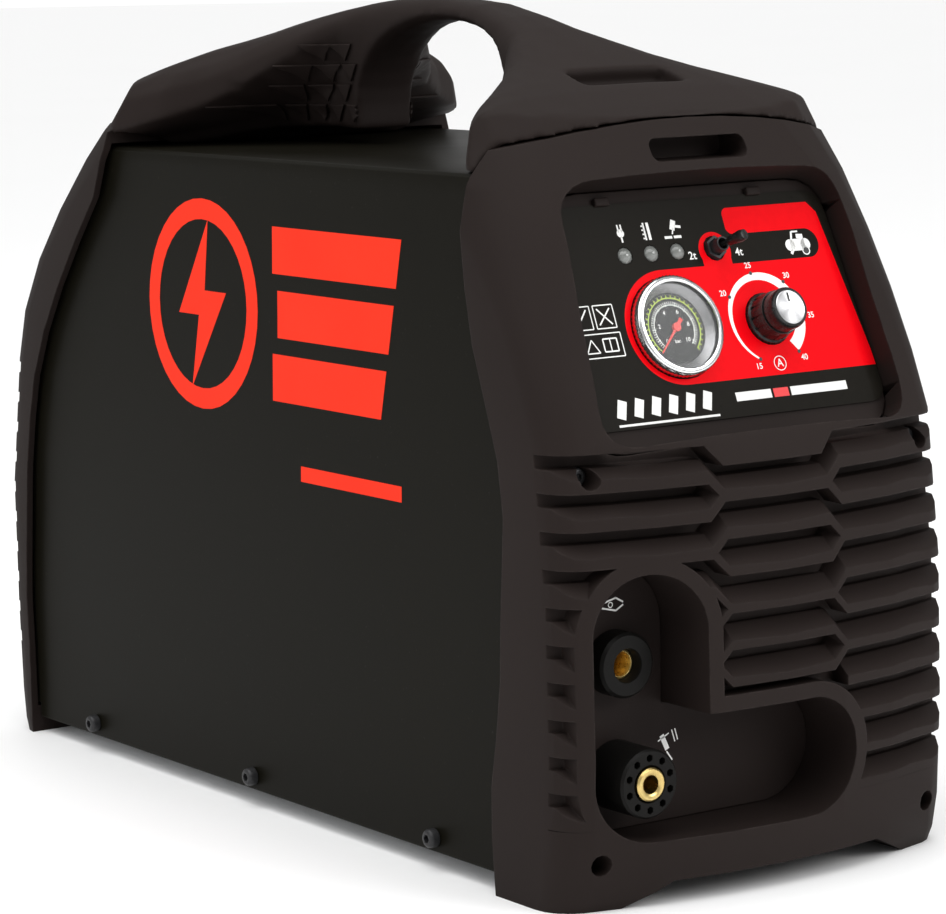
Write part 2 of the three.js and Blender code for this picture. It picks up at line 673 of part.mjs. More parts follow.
const REAR_EDGE = [
  [210, 0], [210, 14], [213.4, 14], [213.4, 142], [203, 190], [187, 215], [170, 240], [150, 260],
  [139, 276], [139, 290],
];
const CASE_SCREW_Y = [-125, 15, 155];
const CASE_SCREW_Z = 13.4;

function screwHoles(radius) {
  return CASE_SCREW_Y.map((y) => rod('x', radius, -110, y, CASE_SCREW_Z, 220, 8));
}

function caseCover() {
  const skin = push('y', coverSection(0), -195, 225, 3);
  const inside = push('y', coverSection(SHEET), -200, 230, 3).add(box(-92.5, -200, 0, 92.5, 230, 12));
  const side = push('x', outline([...FRONT_EDGE, ...REAR_EDGE]), -OUTSIDE, OUTSIDE);
  return cut(skin.intersect(side), [inside, ...screwHoles(SCREW_HOLE)]);
}

// ---- base tray: folded sheet with side and end flanges ----
const TRAY = { half: 92.2, front: -170.2, rear: 209.7, top: 32 };
function baseTray() {
  const { half, front, rear, top } = TRAY;
  const outer = box(-half, front, CASE_BOTTOM, half, rear, top);
  const inner = box(
    -half + SHEET, front + SHEET, CASE_BOTTOM + SHEET, half - SHEET, rear - SHEET, top + 28,
  );
  const sideCut = box(-100, -200, 24, 100, -100, 60).add(box(-100, 150, 24, 100, 230, 60));
  const vents = [];
  for (let i = 0; i < 5; i += 1) {
    const y = -60 + i * 22;
    vents.push(box(-34, y, 0, 34, y + 6, 20));
  }
  const endHoles = [
    ...wellRods(END.front, SCREW_HOLE, 180, 160), ...wellRods(END.rear, SCREW_HOLE, 215, 200),
  ];
  return cut(outer, [inner, sideCut, ...screwHoles(1.9), ...endHoles, ...vents]);
}

// A pan-head screw whose head sits at its bearing face and whose shank runs the other way.
function panScrew(reach, headRadius, headHeight, shankRadius, x, z, from, toward) {
  const at = (distance) => from + toward * distance;
  return turned([
    [0, at(-headHeight)], [headRadius * 0.7, at(-headHeight)], [headRadius, at(-headHeight * 0.6)],
    [headRadius, at(0)], [shankRadius, at(0)], [shankRadius, at(reach)], [0, at(reach)],
  ], x, z, 8);
}

function sideScrew(x, y) {
  const lying = geometryOf(panScrew(5.4, 3.9, 4.2, 1.7, 0, 0, 0, 1));
  lying.rotateZ(x < 0 ? -PI / 2 : PI / 2);
  lying.translate(x, y, CASE_SCREW_Z);
  return lying;
}

// ---- front fittings ----
function connectorPlate() {
  return cut(recessBlock(-CLEARANCE, RECESS_BACK, RECESS_BACK + 3), [
    rod('y', 9.3, RECESS_X, -210, EARTH_Z, 20, 24), rod('y', 9.3, RECESS_X, -210, TORCH_Z, 20, 24),
  ]);
}

const SEAT = RECESS_BACK - CLEARANCE;
const BODY_BACK = -190;         // rear end of both plastic bodies
const CONTACT_BACK = BODY_BACK + 0.4;
function earthSocketBody() {
  const front = RECESS_BACK - 10;
  return turned([
    [6.3, front + 1], [6.9, front], [11.8, front], [13, front + 1.2], [13, SEAT], [9, SEAT],
    [9, BODY_BACK], [6.3, BODY_BACK], [6.3, front + 1],
  ], RECESS_X, EARTH_Z, 28);
}

function earthSocketContact() {
  const front = RECESS_BACK - 5.5;
  return turned([
    [0, front + 24], [4.6, front + 24], [4.6, front + 0.6], [5.1, front], [6, front + 0.4],
    [6, CONTACT_BACK], [8, CONTACT_BACK], [8, -182], [4, -182], [4, -166], [0, -166],
  ].reverse(), RECESS_X, EARTH_Z, 20);
}

function torchConnectorBody() {
  const front = RECESS_BACK - 23;
  const barrel = turned([
    [7, front + 0.8], [7.6, front], [12.9, front], [13.75, front + 1], [13.75, SEAT], [9, SEAT],
    [9, BODY_BACK], [7, BODY_BACK], [7, front + 0.8],
  ], RECESS_X, TORCH_Z, 28);
  const circle = { count: 10, radius: 10.3 };
  const pins = [];
  for (let i = 0; i < circle.count; i += 1) {
    const angle = 2 * PI * (i + 0.5) / circle.count;
    const x = RECESS_X + circle.radius * cos(angle);
    pins.push(rod('y', 1.6, x, front - 1, TORCH_Z + circle.radius * sin(angle), 7, 6));
  }
  return cut(barrel, pins);
}

function torchConnectorContact() {
  const front = RECESS_BACK - 24.2;
  return turned([
    [0, front + 22], [3.7, front + 22], [3.7, front + 0.7], [4.6, front], [6, front],
    [6.7, front + 0.7], [6.7, CONTACT_BACK], [8.6, CONTACT_BACK], [8.6, -181], [5, -181], [5, -168],
    [0, -168],
  ].reverse(), RECESS_X, TORCH_Z, 20);
}

const GAUGE = { x: -22, z: 43 };
const DIAL = { x: 25, z: 43 };
const TOGGLE = { x: 7.6, z: 74 };
const LAMPS = [['power', -37], ['thermal', -24], ['torch', -11]];
const LAMP_Z = 74;

function controlPanel() {
  return cut(push('y', pocketShape(-2 * CLEARANCE), 0, PANEL_PLATE, 4), [
    rod('y', 19.2, GAUGE.x, -5, GAUGE.z, 12, 32), rod('y', 4.2, DIAL.x, -5, DIAL.z, 12, 16),
    rod('y', 3.3, TOGGLE.x, -5, TOGGLE.z, 12, 16),
    ...LAMPS.map(([, x]) => rod('y', 2.9, x, -5, LAMP_Z, 12, 12)),
  ]);
}

// The printed label, a thin plate with clearance round everything that stands through it.
const LABEL = { low: 75.5, high: 67.5, bottom: 4.5, top: 95.5, round: 9, back: -0.35, thick: 0.5 };
function panelLabel() {
  const shape = taperedPlate(LABEL.low, LABEL.high, LABEL.bottom, LABEL.top, LABEL.round);
  return cut(push('y', shape, LABEL.back - LABEL.thick, LABEL.back, 4), [
    rod('y', 21.1, GAUGE.x, -5, GAUGE.z, 12, 28), rod('y', 11, DIAL.x, -5, DIAL.z, 12, 24),
    rod('y', 5.3, TOGGLE.x, -5, TOGGLE.z, 12, 12),
    ...LAMPS.map(([, x]) => rod('y', 3.7, x, -5, LAMP_Z, 12, 12)),
  ]);
}

function gaugeCase() {
  return turned([
    [0, 3], [1.1, 3], [1.1, 0.3], [18, 0.3], [18, -3.6], [18.8, -3.6], [18.8, 20], [6, 20], [6, 24],
    [4.6, 24], [4.6, 33], [0, 33],
  ], GAUGE.x, GAUGE.z, 24);
}

function gaugeDial() {
  return turned([[1.3, -0.05], [17.6, -0.05], [17.6, -0.6], [1.3, -0.6], [1.3, -0.05]], GAUGE.x, GAUGE.z, 32);
}

function gaugeLens() {
  return turned([[0, -3.95], [18.7, -3.95], [18.7, -4.75], [0, -4.75]], GAUGE.x, GAUGE.z, 32);
}

function gaugeRing() {
  return turned([
    [17.8, -6], [19.6, -6], [20.7, -5], [20.7, -0.35], [19.15, -0.35], [19.15, -5], [17.8, -5],
    [17.8, -6],
  ], GAUGE.x, GAUGE.z, 28);
}

const NEEDLE_AT_ZERO = THREE.MathUtils.degToRad(-135);
function gaugeNeedle() {
  const blade = outline([[-0.9, -4.5], [0.9, -4.5], [0.5, 0], [0.25, 14], [-0.25, 14], [-0.5, 0]]);
  const arm = push('y', blade, -2.3, -1.8);
  const hub = turned([
    [0, -2.7], [1.8, -2.7], [1.8, -1.4], [0.7, -1.4], [0.7, 1.5], [0, 1.5],
  ], 0, 0, 12);
  const geometry = geometryOf(arm.add(hub));
  geometry.rotateY(NEEDLE_AT_ZERO);
  geometry.translate(GAUGE.x, 0, GAUGE.z);
  return geometry;
}

// Control knob: a fluted skirt pressed on the shaft, with a spun metal cap over its top.
function knobSkirt() {
  const blank = turned([
    [3.2, -0.6], [10.6, -0.6], [10.6, -2.2], [9.8, -3], [9.2, -9.5], [3.2, -9.5], [3.2, -0.6],
  ], DIAL.x, DIAL.z, 24);
  const count = 14;
  const flutes = [];
  for (let i = 0; i < count; i += 1) {
    const angle = 2 * PI * i / count;
    flutes.push(rod('y', 0.9, DIAL.x + 10 * cos(angle), -12, DIAL.z + 10 * sin(angle), 9.2, 4));
  }
  return cut(blank, flutes);
}

function knobCap() {
  return turned([
    [0, -9.85], [8.6, -9.85], [8.6, -15.6], [7.8, -16.6], [6.6, -16.6], [6.2, -16.2], [0, -16.2],
  ], DIAL.x, DIAL.z, 24);
}

function potentiometer() {
  const can = turned([
    [0, -9], [2.9, -9], [2.9, -0.2], [3.9, -0.2], [3.9, 2.8], [8, 2.8], [8.6, 3.4], [8.6, 12], [0, 12],
  ], DIAL.x, DIAL.z, 16);
  return can.add(box(DIAL.x - 6, 4, DIAL.z - 14, DIAL.x + 6, 6, DIAL.z));
}

function toggleBody() {
  const bushing = turned([
    [0, 3], [3, 3], [3, -7], [2.3, -7], [2.3, -0.8], [0, -0.8],
  ], TOGGLE.x, TOGGLE.z, 16);
  return bushing.add(box(TOGGLE.x - 6.5, 2.8, TOGGLE.z - 4, TOGGLE.x + 6.5, 14, TOGGLE.z + 4));
}

function toggleNut() {
  return turned([
    [3.65, -0.35], [4.9, -0.35], [4.9, -2.6], [3.65, -2.6], [3.65, -0.35],
  ], TOGGLE.x, TOGGLE.z, 6);
}

const TOGGLE_PIVOT = -3;
const TOGGLE_TILT = THREE.MathUtils.degToRad(12);
function toggleLever() {
  const stem = turned([
    [0, 1.5], [1.1, 1], [1.5, 0], [0.95, -1.2], [1.1, -5], [1.9, -7], [2.5, -13], [2.1, -14.8], [0, -15.4],
  ].reverse(), 0, 0, 14);
  const geometry = geometryOf(stem);
  geometry.rotateZ(TOGGLE_TILT);
  geometry.translate(TOGGLE.x, TOGGLE_PIVOT, TOGGLE.z);
  return geometry;
}

function lamp(x) {
  return turned([
    [0, 8], [2.5, 8], [2.5, -0.35], [3.3, -0.35], [3.3, -1], [2.5, -1.6], [1.5, -2.5], [0, -2.9],
  ], x, LAMP_Z, 12);
}

// ---- rear fittings, standing out of the bay plate along +Y ----
const SWITCH = { x: -38, z: 216 };
const GLAND = { x: 2, z: 210 };
const REGULATOR = { x: 42, z: 218 };
const PLATE_REAR = BAY_FLOOR;

function rearPlate() {
  return cut(bayBlock(-CLEARANCE, PLATE_REAR - 2, PLATE_REAR), [
    box(SWITCH.x - 10.4, 180, SWITCH.z - 13.4, SWITCH.x + 10.4, 190, SWITCH.z + 13.4),
    rod('y', 10.3, GLAND.x, 180, GLAND.z, 12, 24), rod('y', 8.3, REGULATOR.x, 180, REGULATOR.z, 12, 24),
  ]);
}

const ROCKER_AXIS_Y = PLATE_REAR + 0.5;
function mainsSwitchHousing() {
  const flange = roundedRect(-12.5, -15.5, 12.5, 15.5, 2);
  const bezel = push('y', flange, PLATE_REAR + CLEARANCE, PLATE_REAR + 2.6, 3);
  const body = box(-10, PLATE_REAR - 20, -13, 10, PLATE_REAR + 1, 13);
  const well = box(-8, PLATE_REAR - 10, -11.6, 8, PLATE_REAR + 10, 11.6);
  const tabs = [-6, 6].map((z) => box(-3, PLATE_REAR - 30, z - 0.4, 3, PLATE_REAR - 19, z + 0.4));
  return cut(joined([bezel, body, ...tabs]), [well]).translate(SWITCH.x, 0, SWITCH.z);
}

function mainsRocker() {
  const side = outline([
    [4.2, -9.6], [0.5, -10.4], [-6.5, -4], [-6.5, 4], [0.5, 10.4], [1.4, 9.6], [1.2, 0],
  ]);
  const paddle = push('x', side, -7.6, 7.6);
  return paddle.translate(SWITCH.x, ROCKER_AXIS_Y, SWITCH.z);
}

function glandBody() {
  const hex = new THREE.CylinderGeometry(13.2, 13.2, 6, 6);
  hex.translate(0, PLATE_REAR + CLEARANCE + 3, 0);
  const tube = turned([
    [5.2, PLATE_REAR - 9], [9.8, PLATE_REAR - 9], [9.8, PLATE_REAR + 15], [5.2, PLATE_REAR + 15],
    [5.2, PLATE_REAR - 9],
  ], 0, 0, 24);
  const bore = rod('y', 5.2, 0, PLATE_REAR - 12, 0, 40, 24);
  return cut(solid(hex).add(tube), [bore]).translate(GLAND.x, 0, GLAND.z);
}

function glandNut() {
  const y = PLATE_REAR + 6.7;
  return turned([
    [10.2, y], [12.6, y], [12.6, y + 9], [10.6, y + 13], [6.2, y + 14.5], [5.4, y + 14.5],
    [5.4, y + 9.2], [10.2, y + 8.8], [10.2, y],
  ], GLAND.x, GLAND.z, 12);
}

function regulatorBody() {
  const stem = turned([
    [0, PLATE_REAR - 34], [11, PLATE_REAR - 34], [11, PLATE_REAR - 6], [8, PLATE_REAR - 6],
    [8, PLATE_REAR + 3], [4.8, PLATE_REAR + 3], [4.8, PLATE_REAR + 14], [0, PLATE_REAR + 14],
  ], REGULATOR.x, REGULATOR.z, 16);
  const port = rod('x', 6, REGULATOR.x - 20, PLATE_REAR - 20, REGULATOR.z, 40, 16);
  return stem.add(port);
}

function regulatorKnob() {
  const y = PLATE_REAR + 3.6;
  const blank = turned([
    [5.2, y], [15, y], [15, y + 2.5], [13.6, y + 4], [13, y + 17], [12, y + 18.5], [0, y + 18.5],
    [0, y + 11.5], [5.2, y + 11.5], [5.2, y],
  ].reverse(), REGULATOR.x, REGULATOR.z, 28);
  const ring = { count: 8, radius: 14.2 };
  const flutes = [];
  for (let i = 0; i < ring.count; i += 1) {
    const angle = 2 * PI * i / ring.count;
    const x = REGULATOR.x + ring.radius * cos(angle);
    flutes.push(rod('y', 1.8, x, y + 4, REGULATOR.z + ring.radius * sin(angle), 20, 4));
  }
  return cut(blank, flutes);
}

// ---- fan behind the rear slats ----
const FAN_REAR = 213;
const FAN_DEPTH = 37;
const FAN_HALF = 59.5;
const FAN_BOLT = 52.5;          // frame bolts, out from the middle both ways
function fanFrame() {
  const front = FAN_REAR - FAN_DEPTH;
  const corners = roundedRect(-FAN_HALF, -FAN_HALF, FAN_HALF, FAN_HALF, 8);
  const square = push('y', corners, front, FAN_REAR, 3);
  const bore = turned([
    [0, front - 1], [FAN_BORE + 2, front - 1], [FAN_BORE, front + 4], [FAN_BORE, FAN_REAR - 4],
    [FAN_BORE + 2, FAN_REAR + 1], [0, FAN_REAR + 1],
  ], 0, 0, 28);
  const hub = turned([[0, front], [20, front], [20, front + 6], [0, front + 6]], 0, 0, 16);
  const struts = [45, 135, 225, 315].map((angle) => {
    const bar = new THREE.BoxGeometry(46, 5, 5);
    bar.translate(40, front + 2.5, 0);
    bar.rotateY(THREE.MathUtils.degToRad(angle));
    return solid(bar);
  });
  const holes = [-FAN_BOLT, FAN_BOLT].flatMap((x) => [-FAN_BOLT, FAN_BOLT].map((z) => {
    return rod('y', 2.2, x, front - 2, z, FAN_DEPTH + 4, 8);
  }));
  const frame = joined([square.subtract(bore), hub, ...struts]);
  return cut(frame, holes).translate(0, 0, FAN_Z);
}

function fanRotor() {
  const front = FAN_REAR - FAN_DEPTH + 7;
  const hub = turned([
    [0, front], [21, front], [21, front + 24], [18, front + 26], [0, front + 26],
  ], 0, 0, 20);
  const count = 7;
  const cambered = [[-1, -0.5], [0, -1.1], [1, -0.5], [1, 0.5], [0, 0.1], [-1, 0.5]];
  const loops = [19.5, 30, 42, 54].map((radius, k) => {
    const twist = THREE.MathUtils.degToRad(52 - 7 * k);
    const chord = 13 + 3.4 * k;
    return cambered.map(([along, thick]) => {
      const a = along * chord / 2;
      const t = thick * 1.4;
      const y = front + 13 + a * sin(twist) * 0.8 + t * cos(twist);
      return [radius, y, a * cos(twist) - t * sin(twist)];
    });
  });
  const blades = [];
  for (let i = 0; i < count; i += 1) {
    const blade = geometryOf(loft(loops, SIDE));
    blade.rotateY(2 * PI * i / count);
    blades.push(solid(blade));
  }
  return joined([hub, ...blades]).translate(0, 0, FAN_Z);
}

// ---- inside: compressor, power stage and boards ----
const SHAFT = { x: -45, z: 62 };
const CRANKCASE = { front: -30, rear: 10, top: 104 };
const INNER_GAP = 0.4;
const FLOOR = CASE_BOTTOM + SHEET + INNER_GAP;

function compressorMotor() {
  const y = CRANKCASE.rear + INNER_GAP;
  const can = turned([
    [0, y], [30, y], [33, y + 4], [33, y + 78], [30, y + 84], [12, y + 84], [12, y + 92], [0, y + 92],
  ].reverse(), SHAFT.x, SHAFT.z, 20);
  const stand = box(SHAFT.x - 22, y + 10, FLOOR, SHAFT.x + 22, y + 70, SHAFT.z - 20);
  return can.add(stand);
}

function compressorCrankcase() {
  const shape = roundedRect(SHAFT.x - 28, FLOOR, SHAFT.x + 28, CRANKCASE.top, 6);
  const body = push('y', shape, CRANKCASE.front, CRANKCASE.rear, 3);
  return cut(body, [rod('y', 7, SHAFT.x, CRANKCASE.front - 1, SHAFT.z, 20, 12)]);
}

function compressorHead() {
  const low = CRANKCASE.top + INNER_GAP;
  const block = box(SHAFT.x - 24, CRANKCASE.front + 3, low, SHAFT.x + 24, CRANKCASE.rear - 3, low + 34);
  const slots = [];
  for (let z = low + 6; z < low + 30; z += 5) {
    slots.push(box(SHAFT.x - 30, -40, z, SHAFT.x - 12, 20, z + 2.4));
    slots.push(box(SHAFT.x + 12, -40, z, SHAFT.x + 30, 20, z + 2.4));
  }
  return cut(block, slots);
}

// Flywheel with cooling blades, on the front end of the crankshaft.
function compressorFlywheel() {
  const rear = CRANKCASE.front - 1.6;
  const disc = turned([
    [0, rear + 12], [5, rear + 12], [5, rear], [26, rear], [26, rear - 9], [22, rear - 9],
    [22, rear - 3], [8, rear - 3], [8, rear - 12], [0, rear - 12],
  ], SHAFT.x, SHAFT.z, 20);
  const blades = [];
  for (let i = 0; i < 5; i += 1) {
    const blade = new THREE.BoxGeometry(17, 7, 1.8);
    blade.translate(15, rear - 6, 0);
    blade.rotateY(2 * PI * i / 5);
    blade.translate(SHAFT.x, 0, SHAFT.z);
    blades.push(solid(blade));
  }
  return joined([disc, ...blades]);
}

function transformer() {
  const core = box(14, 20, FLOOR, 74, 80, FLOOR + 72);
  const windows = [22, 54].map((x) => box(x, 10, FLOOR + 12, x + 12, 90, FLOOR + 60));
  const winding = push('z', roundedRect(24, 12, 64, 88, 8), FLOOR + 14, FLOOR + 58, 3);
  return cut(core, windows).add(winding);
}

function outputChoke() {
  const ring = new THREE.TorusGeometry(20, 9, 8, 16);
  ring.translate(46, -30, FLOOR + 9.5);
  return solid(ring).add(box(36, -40, FLOOR, 56, -20, FLOOR + 8));
}

function heatSink() {
  const plate = box(20, -70, 150, 80, 110, 156);
  const fins = [];
  for (let x = 20; x <= 78; x += 8.3) fins.push(box(x, -70, 118, x + 2, 110, 151));
  return joined([plate, ...fins]);
}

const BOARD_TOP = 161.8;
function powerBoard() {
  const sheet = box(-70, -90, BOARD_TOP - 1.8, 82, 120, BOARD_TOP);
  const low = BOARD_TOP - 0.8;
  const modules = [-60, -20, 20].map((y) => box(28, y, low, 44, y + 24, 184));
  const parts = [
    box(56, -60, low, 72, 40, 172), box(-60, 40, low, -20, 90, 190), box(-10, 60, low, 14, 100, 178),
  ];
  return joined([sheet, ...modules, ...parts]);
}

function capacitorBank() {
  const strap = box(-64, -74, BOARD_TOP + INNER_GAP, -4, 28, 165);
  const cans = [[-48, -52], [-48, 6], [-18, -23]].map(([x, y]) => rod('z', 15, x, y, 164, 62, 18));
  return joined([strap, ...cans]);
}

function controlBoard() {
  const sheet = box(-62, -142, 150, 62, -140.4, 205);
  const parts = [
    box(-50, -141, 160, -30, -130, 172), box(-8, -141, 176, 10, -136, 194),
    box(30, -141, 158, 46, -128, 176),
  ];
  return joined([sheet, ...parts]);
}

function solenoidValve() {
  const block = box(0, -120, FLOOR, 26, -94, FLOOR + 20);
  const coil = box(2, -118, FLOOR + 19, 24, -96, FLOOR + 48);
  const ports = rod('y', 5, 13, -132, FLOOR + 10, 50, 12);
  return joined([block, coil, ports]);
}

// ---- assembly ----
place('base_tray', baseTray(), 'steel');
place('case_cover', caseCover(), 'paint');
place('front_bezel', frontBezel(), 'moulding');
place('rear_bezel', rearBezel(), 'moulding');
place('carry_handle', carryHandle(), 'moulding');
const SCREW_SEAT = COVER.low + CLEARANCE;
for (const [side, x] of [['left', -SCREW_SEAT], ['right', SCREW_SEAT]]) {
  CASE_SCREW_Y.forEach((y, i) => place(`case_screw_${side}_${i + 1}`, sideScrew(x, y), 'black'));
}
for (const end of ['front', 'rear']) {
  const { side, wellFloor, screw } = END[end];
  for (const [corner, x, z] of [
    ['low_left', -WELL_X, WELL_HEIGHTS[0]], ['low_right', WELL_X, WELL_HEIGHTS[0]],
    ['high_left', -WELL_X, WELL_HEIGHTS[1]], ['high_right', WELL_X, WELL_HEIGHTS[1]],
  ]) {
    const seat = side * (wellFloor + CLEARANCE);
    place(`${end}_screw_${corner}`, panScrew(screw, 3.6, 3, 1.9, x, z, seat, -side), 'steel');
  }
}
place('connector_plate', connectorPlate(), 'moulding');
place('earth_socket_body', earthSocketBody(), 'black');
place('earth_socket_contact', earthSocketContact(), 'brass');
place('torch_connector_body', torchConnectorBody(), 'black');
place('torch_connector_contact', torchConnectorContact(), 'brass');
place('control_panel', controlPanel(), 'label', panelFrame);
place('panel_label', panelLabel(), 'label', panelFrame);
place('gauge_case', gaugeCase(), 'black', panelFrame);
place('gauge_dial', gaugeDial(), 'dial', panelFrame);
place('gauge_needle', gaugeNeedle(), 'red', panelFrame);
place('gauge_lens', gaugeLens(), 'glass', panelFrame);
place('gauge_ring', gaugeRing(), 'alloy', panelFrame);
place('current_knob_skirt', knobSkirt(), 'black', panelFrame);
place('current_knob_cap', knobCap(), 'alloy', panelFrame);
place('current_potentiometer', potentiometer(), 'steel', panelFrame);
place('toggle_body', toggleBody(), 'steel', panelFrame);
place('toggle_nut', toggleNut(), 'steel', panelFrame);
place('toggle_lever', toggleLever(), 'black', panelFrame);
for (const [name, x] of LAMPS) {
  place(`lamp_${name}`, lamp(x), 'lamp', panelFrame);
}
place('rear_plate', rearPlate(), 'black');
place('mains_switch_housing', mainsSwitchHousing(), 'black');
place('mains_rocker', mainsRocker(), 'black');
place('cable_gland_body', glandBody(), 'black');
place('cable_gland_nut', glandNut(), 'black');
place('regulator_body', regulatorBody(), 'alloy');
place('regulator_knob', regulatorKnob(), 'black');
place('fan_frame', fanFrame(), 'black');
place('fan_rotor', fanRotor(), 'black');
place('compressor_motor', compressorMotor(), 'steel');
place('compressor_crankcase', compressorCrankcase(), 'alloy');
place('compressor_head', compressorHead(), 'alloy');
place('compressor_flywheel', compressorFlywheel(), 'black');
place('transformer', transformer(), 'copper');
place('choke', outputChoke(), 'copper');
place('heat_sink', heatSink(), 'alloy');
place('power_board', powerBoard(), 'board');
place('capacitor_bank', capacitorBank(), 'glass');
place('control_board', controlBoard(), 'board');
place('solenoid_valve', solenoidValve(), 'brass');

export default machine;
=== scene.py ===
import json
import math
import bpy
from mathutils import Matrix, Vector

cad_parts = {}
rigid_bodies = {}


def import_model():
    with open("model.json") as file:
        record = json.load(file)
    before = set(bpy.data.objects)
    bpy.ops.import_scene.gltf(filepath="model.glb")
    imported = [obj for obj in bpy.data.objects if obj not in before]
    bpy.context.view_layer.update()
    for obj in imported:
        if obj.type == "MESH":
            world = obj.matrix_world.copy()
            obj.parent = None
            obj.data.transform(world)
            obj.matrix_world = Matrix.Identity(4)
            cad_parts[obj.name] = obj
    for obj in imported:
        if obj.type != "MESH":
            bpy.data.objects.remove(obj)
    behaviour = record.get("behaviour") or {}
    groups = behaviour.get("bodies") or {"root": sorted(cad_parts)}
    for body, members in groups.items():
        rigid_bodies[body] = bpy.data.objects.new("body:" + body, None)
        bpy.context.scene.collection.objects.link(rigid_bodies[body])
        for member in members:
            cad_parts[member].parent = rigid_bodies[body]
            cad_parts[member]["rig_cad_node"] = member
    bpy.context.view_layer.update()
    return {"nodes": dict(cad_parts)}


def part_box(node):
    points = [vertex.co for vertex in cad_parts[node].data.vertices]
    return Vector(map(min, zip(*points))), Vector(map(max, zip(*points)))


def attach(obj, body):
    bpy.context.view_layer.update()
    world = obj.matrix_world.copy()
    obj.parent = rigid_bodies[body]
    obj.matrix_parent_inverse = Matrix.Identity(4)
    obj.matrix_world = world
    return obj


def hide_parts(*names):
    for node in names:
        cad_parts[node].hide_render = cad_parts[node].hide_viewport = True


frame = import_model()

nodes = frame["nodes"]
MM = 0.001


# ---- end bezels and carry handle ----
# Injection mouldings in brown-black glass-filled plastic, spark-eroded in the tool to a fine matte
# grain, and rubbed a little lighter along the edges that hands and benches touch.
class Value:
    """A number that varies over a surface; arithmetic on it adds Math nodes."""

    def __init__(self, finish, socket):
        self.finish = finish
        self.socket = socket

    def __add__(self, other): return self.finish.maths("ADD", self, other)
    def __sub__(self, other): return self.finish.maths("SUBTRACT", self, other)
    def __rsub__(self, other): return self.finish.maths("SUBTRACT", other, self)
    def __mul__(self, other): return self.finish.maths("MULTIPLY", self, other)
    def __truediv__(self, other): return self.finish.maths("DIVIDE", self, other)
    def __pow__(self, other): return self.finish.maths("POWER", self, other)
    def __abs__(self): return self.finish.maths("ABSOLUTE", self)
    def __lt__(self, other): return self.finish.maths("LESS_THAN", self, other)
    def __gt__(self, other): return self.finish.maths("GREATER_THAN", self, other)
    def __and__(self, other): return self.finish.maths("MINIMUM", self, other)
    def __or__(self, other): return self.finish.maths("MAXIMUM", self, other)
    __radd__ = __add__
    __rmul__ = __mul__


class Finish:
    """One material, built up from its shader's own sockets and a few nodes."""

    def __init__(self, name, color=(0.5, 0.5, 0.5), rough=0.5, metal=0.0, **constants):
        self.material = bpy.data.materials.new(name)
        self.material.use_nodes = True
        self.tree = self.material.node_tree
        self.shader = self.tree.nodes["Principled BSDF"]
        self.shader.inputs["Base Color"].default_value = (*color, 1)
        self.shader.inputs["Roughness"].default_value = rough
        self.shader.inputs["Metallic"].default_value = metal
        for socket, value in constants.items():
            self.shader.inputs[socket.replace("_", " ")].default_value = value
        self.place = self.node("ShaderNodeTexCoord", {}, {}).outputs["Object"]

    def node(self, kind, settings, sockets):
        """Adds a node; sockets take numbers, colours, values or other nodes' outputs."""
        made = self.tree.nodes.new(kind)
        for setting, value in settings.items():
            setattr(made, setting, value)
        for key, value in sockets.items():
            target = made.inputs[key]
            if isinstance(value, Value):
                self.tree.links.new(value.socket, target)
            elif isinstance(value, bpy.types.NodeSocket):
                self.tree.links.new(value, target)
            else:
                target.default_value = value
        return made

    def maths(self, operation, *values):
        made = self.node("ShaderNodeMath", {"operation": operation}, dict(enumerate(values)))
        return Value(self, made.outputs[0])

    def noise(self, scale, detail=2.0, rough=0.5):
        made = self.node("ShaderNodeTexNoise", {}, {
            "Vector": self.place, "Scale": scale, "Detail": detail, "Roughness": rough})
        return Value(self, made.outputs["Fac"])

    def mix(self, share, first, second):
        def color(value):
            return (*value, 1) if isinstance(value, tuple) else value
        made = self.node("ShaderNodeMix", {"data_type": "RGBA"}, {
            0: share, 6: color(first), 7: color(second)})
        return made.outputs[2]

    def feed(self, socket, value):
        source = value.socket if isinstance(value, Value) else value
        self.tree.links.new(source, self.shader.inputs[socket])
        return self

    def clamp(self, value):
        made = self.node("ShaderNodeClamp", {}, {0: value})
        return Value(self, made.outputs[0])

    def rounded(self, radius):
        return self.node("ShaderNodeBevel", {"samples": 4}, {"Radius": radius}).outputs[0]

    def edges(self, radius, start, gain):
        """1 along the piece's edges and 0 on its flat faces."""
        soft = self.rounded(radius)
        true = self.node("ShaderNodeNewGeometry", {}, {}).outputs["Normal"]
        agree = self.node("ShaderNodeVectorMath", {"operation": "DOT_PRODUCT"}, {0: soft, 1: true})
        return self.clamp((1 - Value(self, agree.outputs["Value"]) - start) * gain)

    def relief(self, height, strength, depth, radius=0.0):
        """Fine relief of the surface, over edges rounded by the radius in metres."""
        sockets = {"Height": height, "Strength": strength, "Distance": depth}
        if radius:
            sockets["Normal"] = self.rounded(radius)
        self.feed("Normal", self.node("ShaderNodeBump", {}, sockets).outputs[0])
        return self


def wears(finish, *pieces):
    """Gives the finish to pieces of this script and to CAD nodes, which are given by name."""
    for piece in pieces:
        piece = nodes[piece] if isinstance(piece, str) else piece
        piece.data.materials.clear()
        piece.data.materials.append(finish.material)


def alone(piece):
    """Selects this piece only, for the operator that follows."""
    bpy.ops.object.select_all(action="DESELECT")
    piece.select_set(True)
    bpy.context.view_layer.objects.active = piece


def applied(piece, kind, **settings):
    """Adds a modifier with its settings and applies it to the piece's mesh."""
    alone(piece)
    bpy.ops.object.modifier_add(type=kind)
    modifier = piece.modifiers[-1]
    for setting, value in settings.items():
        setattr(modifier, setting, value)
    bpy.ops.object.modifier_apply(modifier=modifier.name)


